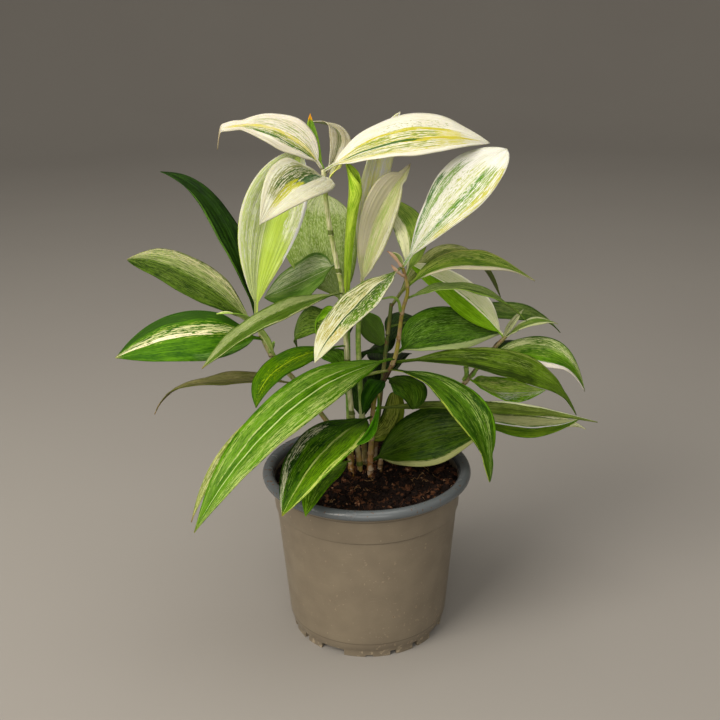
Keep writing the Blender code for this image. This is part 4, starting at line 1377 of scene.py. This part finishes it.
BLADES = (
    # The whorl at the head of the tall cane.
    Blade("crown_left", "tall", 270, (-46, 0, 290), (-83, 4, 288), 25, "cream", roll=-35, widest=0.46,
          hook=10, hook_start=0.88, drip=0.2, droop=0.7),
    Blade("crown_right", "tall", 269, (22, 4, 285), (67, 14, 280), 35, "cream", roll=28, fold=10,
          widest=0.5),
    Blade("crown_front", "tall", 266, (-33, -38, 269), (-49, -62, 254), 31, "cream", roll=-25,
          widest=0.36, fullness=1.6),
    Blade("crown_back", "tall", 267, (-13, 18, 285), (-30, 32, 290), 14, "cream", roll=20, fold=20),
    Blade("crown_bud", "tall", 270, (-27, 13, 283), (-28, 18, 296), 8, "young", fold=40, wave=0),
    # Leaves on the tall cane and the spear's cane.
    Blade("tall_back", "tall", 196, (-26, 42, 221), (-24, 66, 245), 46, "grey", fold=10, widest=0.56,
          fullness=1.05),
    Blade("tall_left", "tall", 219, (-35, 12, 206), (-57, 22, 194), 31, "grey", roll=-45, widest=0.42,
          fullness=1.5),
    Blade("tall_front", "tall", 203, (-48, -48, 204), (-77, -82, 190), 14, "edged", roll=-15, fold=20),
    Blade("tall_low", "tall", 172, (-44, -26, 170), (-57, -44, 154), 23, "bright"),
    Blade("tall_narrow", "tall", 192, (-24, 3, 189), (-27, 6, 175), 9, "bright", roll=-30),
    Blade("tall_hanging", "tall", 182, (-36, 32, 175), (-40, 42, 153), 20, "grey", roll=-60),
    Blade("spear_rear", "spear", 168, (-20, 56, 176), (-32, 89, 150), 26, "dark", "shade"),
    # The whorl and the lower leaves of the left cane.
    Blade("left_upright", "left", 190, (-52, 0, 237), (-33, 4, 279), 36, "fresh", roll=80, fold=24,
          widest=0.6),
    Blade("left_back", "left", 188, (-82, 30, 240), (-115, 45, 262), 18, "dark"),
    Blade("left_arch", "left", 184, (-95, 6, 210), (-132, 18, 220), 30, "streaked", roll=-20,
          widest=0.52, hook=2),
    Blade("left_broad", "left", 178, (-91, -26, 187), (-129, -38, 180), 32, "banded", roll=-40, fold=10),
    Blade("left_edge", "left", 165, (-60, -24, 194), (-76, -34, 202), 10, "edged", wave=0.5),
    Blade("left_low", "left", 150, (-92, 10, 148), (-125, 22, 128), 18, "olive", widest=0.35, hook=5),
    # The head and the upper leaves of the front cane.
    Blade("front_up", "front", 218, (46, -6, 254), (75, 6, 278), 32, "cream", roll=38, widest=0.6),
    Blade("front_speckled", "front", 218, (-7, -38, 204), (-25, -62, 185), 23, "speckled"),
    Blade("front_rear", "front", 213, (25, 12, 235), (7, 38, 247), 18, "dark", roll=-20),
    Blade("front_arch", "front", 207, (54, 2, 219), (94, 12, 205), 21, "dark", roll=15, fold=18,
          widest=0.5),
    Blade("front_flat", "front", 200, (57, 6, 202), (90, 8, 183), 20, "green", fold=18),
    # The whorl at the knee of the front cane.
    Blade("knee_long", "front", 166, (-39, -56, 157), (-85, -90, 109), 28, "striped", roll=-18, hook=2),
    Blade("knee_right", "front", 160, (50, -36, 153), (63, -62, 119), 25, "green", widest=0.56,
          drip=0.1),
    Blade("knee_far", "front", 164, (77, -4, 162), (121, 8, 131), 23, "olive", roll=25, widest=0.58,
          hook=5, hook_start=0.8, drip=0.08),
    Blade("knee_broad", "front", 169, (46, 16, 176), (81, 38, 166), 36, "green", roll=25, fold=10),
    Blade("knee_hanging", "front", 155, (23, -14, 152), (25, -22, 143), 22, "dark", fullness=1.4),
    Blade("knee_drop", "front", 153, (4, -14, 152), (-2, -18, 139), 13, "dark"),
    # Leaves near the soil.
    Blade("low_front", "front", 131, (-23, -48, 131), (-43, -74, 107), 35, "dark"),
    Blade("low_long", "front", 136, (67, -8, 138), (132, 2, 124), 12, "edged", roll=10),
    Blade("low_right", "front", 103, (37, -6, 120), (69, -10, 126), 36, "green", roll=45, fold=10),
    Blade("low_left", "left", 102, (-24, -40, 111), (-32, -62, 100), 17, "dark"),
    Blade("low_upright", "middle", 112, (13, 8, 121), (17, 10, 141), 13, "grey", roll=80, widest=0.6,
          fullness=0.9),
    Blade("low_rear", "middle", 118, (-4, 52, 135), (-8, 87, 118), 28, "dark", "shade"),
    # The whorl and the lower leaves of the right cane.
    Blade("right_inward", "right", 166, (56, 30, 191), (24, 24, 213), 23, "fresh", roll=-52),
    Blade("right_small", "right", 167, (97, 30, 175), (113, 36, 172), 12, "edged", wave=0.5),
    Blade("right_arch", "right", 150, (101, 23, 159), (127, 17, 143), 28, "streaked", roll=20, hook=6),
    Blade("right_under", "right", 143, (81, 32, 132), (109, 42, 128), 24, "green", roll=20),
    Blade("right_low", "right", 131, (87, 12, 117), (125, 18, 119), 20, "streaked", roll=15),
    Blade("right_last", "right", 126, (105, 34, 112), (134, 37, 104), 18, "olive"),
    Blade("right_rear", "right", 154, (99, 62, 150), (112, 88, 122), 24, "dark", "shade"),
    # Leaves of the middle cane and the back cane.
    Blade("middle_fold", "middle", 203, (5, 10, 239), (25, 16, 268), 27, "pale", roll=80, fold=40,
          widest=0.64, lean=0.12, fullness=1.6, hook=-1.5, hook_start=0.9, drip=0.1),
    Blade("middle_tall", "middle", 199, (5, 20, 260), (20, 32, 295), 21, "pale", roll=80, fold=25),
    Blade("back_arch", "back", 188, (53, 54, 212), (83, 66, 180), 19, "dark", roll=10),
    Blade("back_long", "back", 176, (84, 56, 174), (120, 62, 158), 20, "dark", roll=15),
    Blade("back_round", "back", 165, (30, 46, 172), (47, 72, 152), 32, "dark", "shade"),
    Blade("back_inner", "back", 158, (7, 34, 160), (-4, 46, 146), 24, "dark", "shade", roll=-20),
    Blade("back_rear", "back", 143, (15, 60, 146), (20, 89, 124), 28, "dark", "shade"),
    # Young leaves deep inside, narrow ones and dry scales: too slight for solids of their own.
    Blade("inner_mid", "back", 166, (4, 26, 173), (-6, 29, 186), 24, "dark", "inner", roll=65,
          fold=8, in_cad=False),
    Blade("inner_low", "spear", 150, (-20, 25, 159), (-31, 37, 150), 18, "dark", "inner",
          in_cad=False),
    Blade("knee_second", "front", 159, (-54, -48, 149), (-87, -85, 110), 9, "edged", "second",
          roll=-30, fold=20, wave=0.4, in_cad=False),
    Blade("low_flap", "front", 148, (4, -29, 138), (-5, -49, 135), 7, "bright", "flap", roll=-70,
          fold=35, wave=0.3, widest=0.6, in_cad=False),
    Blade("crown_under", "tall", 262, (-15, 3, 268), (-9, 10, 274), 11, "cream", "crown_under",
          roll=-30, in_cad=False),
    Blade("right_spike", "right", 166, (85, 31, 174), (92, 34, 182), 6, "pale", "spike", roll=60,
          fold=50, wave=0.0, in_cad=False),
    Blade("head_sliver", "front", 217, (18, -3, 222), (15, -4, 226), 5, "edged", "right_small",
          roll=60, fold=30, wave=0.0, in_cad=False),
    Blade("head_scale_high", "front", 218, (16, -8, 224), (12, -10, 228), 2.8, "sheath", "scale",
          roll=60, fold=50, wave=0.0, widest=0.5, in_cad=False),
    Blade("head_scale_low", "front", 213, (18, -9, 216), (14, -11, 221), 2.8, "sheath", "scale",
          roll=60, fold=50, wave=0.0, widest=0.6, in_cad=False),
)


@dataclass(frozen=True)
class Spear:
    """The youngest leaf of the spear's cane, still rolled up and just opening at its tip.

    front_reach and rear_reach are how far each half goes round, in turns, from the base up.
    """

    path: tuple = ((-10, 5, 199.5), (-8.4, 5, 225), (-6, 4, 246), (-4.4, 4, 261), (-7.6, 4, 275))
    radii: tuple = (1.5, 2.3, 3.1, 3.6, 2.4)
    front_reach: tuple = (0.2, 0.25, 0.28, 0.34, 0.5, 0.24, 0.0)
    rear_reach: tuple = (0.75, 0.75, 0.72, 0.7, 0.64, 0.52, 0.0)
    size: tuple[float, float] = (24.0, 72.0)
    cells: tuple[int, int] = (64, 40)
    thickness: float = 0.4
    tuck: float = 0.28

    def point(self, along: float, across: float) -> Vector:
        """Find a point of the roll.

        Args:
            along: The place from the base, 0, to the tip, 1.
            across: The place across, from the front margin, -1, to the rear one, 1.

        Returns:
            The point in millimetres.
        """
        points = [Vector(place) for place in self.path]
        spans = len(points) - 1
        middle = smooth_point(points, min(along * spans, spans - 0.0001))
        along = min(along, 0.9999)
        turns = self.front_reach if across < 0.0 else self.rear_reach
        reach = blend(turns, along * (len(turns) - 1))
        angle = math.tau * reach * abs(across)
        # The rear margin is tucked inside the front one.
        radius = blend(self.radii, along * spans) * (1.0 - self.tuck * max(across, 0.0) * reach)
        hand = -1.0 if across < 0.0 else 1.0
        return middle + Vector((-math.cos(angle), hand * math.sin(angle), 0.0)) * radius

    def build(self) -> None:
        """Roll a grid into a spear, thicken it and dress it."""
        shift = Vector((0.0, -self.size[1] / 2))
        leaf = bend_sheet("blade_spear", self.cells, self.size, shift, self.point, self.thickness)
        hand_over(leaf, FINISHES["spear"].material("spear"), "young", "leaf_spear")


@dataclass(frozen=True)
class Stub:
    """What is left on a cane where a leaf has dropped: a short stalk."""

    name: str
    points: tuple
    radii: tuple
    slot: str = "young"
    steps: int = 6

    def build(self) -> None:
        """Build the stub as a tapered tube, and dress it."""
        places = [Vector(place) for place in self.points]
        spans = len(places) - 1
        run = []
        for index in range(self.steps * spans + 1):
            reach = min(index / self.steps, spans - 0.0001)
            run.append((smooth_point(places, reach), blend(self.radii, reach)))
        stub = draw_tubes("stub_" + self.name, [run], 2)
        joint = stub.data.attributes.new("joint", "FLOAT", "POINT")
        for value in joint.data:
            value.value = 9.0
        bpy.ops.object.shade_smooth_by_angle(angle=math.radians(40.0))
        hand_over(stub, CANE_FINISHES["spear"].material("stub, " + self.name), self.slot)


STUBS = (
    Stub("front", ((19, -6, 194), (18, -9, 200), (15, -12, 203.5), (9, -13, 203)), (0.9, 0.8, 0.7, 0.5)),
    Stub("right_low", ((57, 22, 143), (58.5, 20, 147), (58, 19, 152)), (1.0, 1.3, 1.5)),
    Stub("right_high", ((61, 23, 144), (62.5, 20, 147), (64.5, 18, 152)), (0.9, 1.2, 0.6)),
    Stub("left_high", ((-53, -3, 170), (-51, -5, 174), (-50, -6, 177)), (0.9, 1.1, 0.7)),
)


@dataclass(frozen=True)
class Lamp:
    """A square soft light that faces the plant: its place and side in metres, and its watts."""

    name: str
    place: tuple[float, float, float]
    side: float
    power: float
    tint: str

    def hang(self, target: tuple[float, float, float]) -> None:
        """Hang the lamp.

        Args:
            target: The point in metres that it faces.
        """
        light = bpy.data.lights.new(self.name, "AREA")
        light.size = self.side
        light.energy = self.power
        light.color = linear(self.tint)[:3]
        item = bpy.data.objects.new(self.name, light)
        item.location = self.place
        item.rotation_euler = (Vector(target) - Vector(self.place)).to_track_quat("-Z", "Y").to_euler()
        bpy.context.scene.collection.objects.link(item)


@dataclass(frozen=True)
class Studio:
    """The floor, the light and the camera, none of which belong to the plant.

    Its sizes are metres, but for the lens and the sensor. pitch, yaw and roll are degrees.
    """

    floor_radius: float = 3.2
    wall: float = 2.4
    cove: float = 1.2
    world: str = "#D8D4CC"
    world_strength: float = 0.72
    target: tuple[float, float, float] = (0.0, 0.0, 0.17)
    lamps: tuple[Lamp, ...] = (
        Lamp("key", (-0.75, -0.7, 0.85), 0.8, 16.0, "#FFF8EC"),
        Lamp("fill", (0.1, -1.3, 0.62), 0.9, 6.5, "#FFFBF4"),
        Lamp("top", (0.0, -0.1, 1.2), 0.9, 5.0, "#FFFCF6"),
    )
    eye: tuple[float, float, float] = (0.0, -0.523, 0.353)
    lens: float = 50.0
    sensor: float = 36.0
    pitch: float = 19.88
    yaw: float = -0.34
    roll: float = -0.67

    def floor(self) -> None:
        """Lay a plain pale floor that curves up into a wall all round, far outside the lamps."""
        deselect()
        bpy.ops.mesh.primitive_circle_add(vertices=96, radius=self.floor_radius, fill_type="NGON")
        floor = bpy.context.object
        floor.name = "studio_floor"
        bpy.ops.object.mode_set(mode="EDIT")
        bpy.ops.mesh.select_all(action="SELECT")
        bpy.ops.mesh.region_to_loop()
        bpy.ops.mesh.extrude_edges_move(TRANSFORM_OT_translate={"value": (0.0, 0.0, self.wall)})
        bpy.ops.mesh.select_all(action="DESELECT")
        bpy.ops.object.mode_set(mode="OBJECT")
        for edge in floor.data.edges:
            edge.select = all(floor.data.vertices[index].co.z < 0.1 for index in edge.vertices)
        bpy.ops.object.mode_set(mode="EDIT")
        bpy.ops.mesh.bevel(offset=self.cove, segments=12)
        bpy.ops.object.mode_set(mode="OBJECT")
        bpy.ops.object.shade_smooth()
        # Board rolled with dull paint: it scatters the light evenly and has no gloss.
        material, tree = new_material("painted board")
        place = add_node(tree, "TexCoord", output="Object")
        tone = add_node(tree, "TexNoise", {"Vector": place, "Scale": 3.0})
        close_material(tree, "#8F8A85", [(tone, "#94908A")], {}, Roughness=0.85)
        floor.data.materials.append(material)

    def light(self) -> None:
        """Light the plant softly from the upper left, with a weaker fill."""
        world = bpy.data.worlds.new("studio")
        world.use_nodes = True
        background = world.node_tree.nodes["Background"]
        background.inputs["Color"].default_value = linear(self.world)
        background.inputs["Strength"].default_value = self.world_strength
        bpy.context.scene.world = world
        # Colours are shown as they are, with no film curve over them.
        bpy.context.scene.view_settings.view_transform = "Standard"
        for lamp in self.lamps:
            lamp.hang(self.target)

    def camera(self) -> None:
        """Set the camera where the photograph was taken."""
        pitch, yaw, roll = (math.radians(angle) for angle in (self.pitch, self.yaw, self.roll))
        ahead = Vector((math.sin(yaw) * math.cos(pitch), math.cos(yaw) * math.cos(pitch), -math.sin(pitch)))
        level = ahead.cross(UP).normalized()
        above = level.cross(ahead)
        right = level * math.cos(roll) + above * math.sin(roll)
        up = above * math.cos(roll) - level * math.sin(roll)
        data = bpy.data.cameras.new("photograph")
        data.lens = self.lens
        data.sensor_width = self.sensor
        data.clip_end = 1000.0
        item = bpy.data.objects.new("photograph", data)
        turn = Matrix((right, up, -ahead)).transposed().to_4x4()
        item.matrix_world = Matrix.Translation(self.eye) @ turn
        bpy.context.scene.collection.objects.link(item)
        bpy.context.scene.camera = item

    def build(self) -> None:
        """Set up the whole studio."""
        self.floor()
        self.light()
        self.camera()


def main() -> None:
    """Build the studio, the pot, its soil, the canes and the leaves."""
    logging.basicConfig(level=logging.INFO)
    Studio().build()
    NurseryPot().build()
    SoilBed().build()
    for piece in (*CANES.values(), Spear(), *BLADES, *STUBS):
        piece.build()


if __name__ == "__main__":
    main()
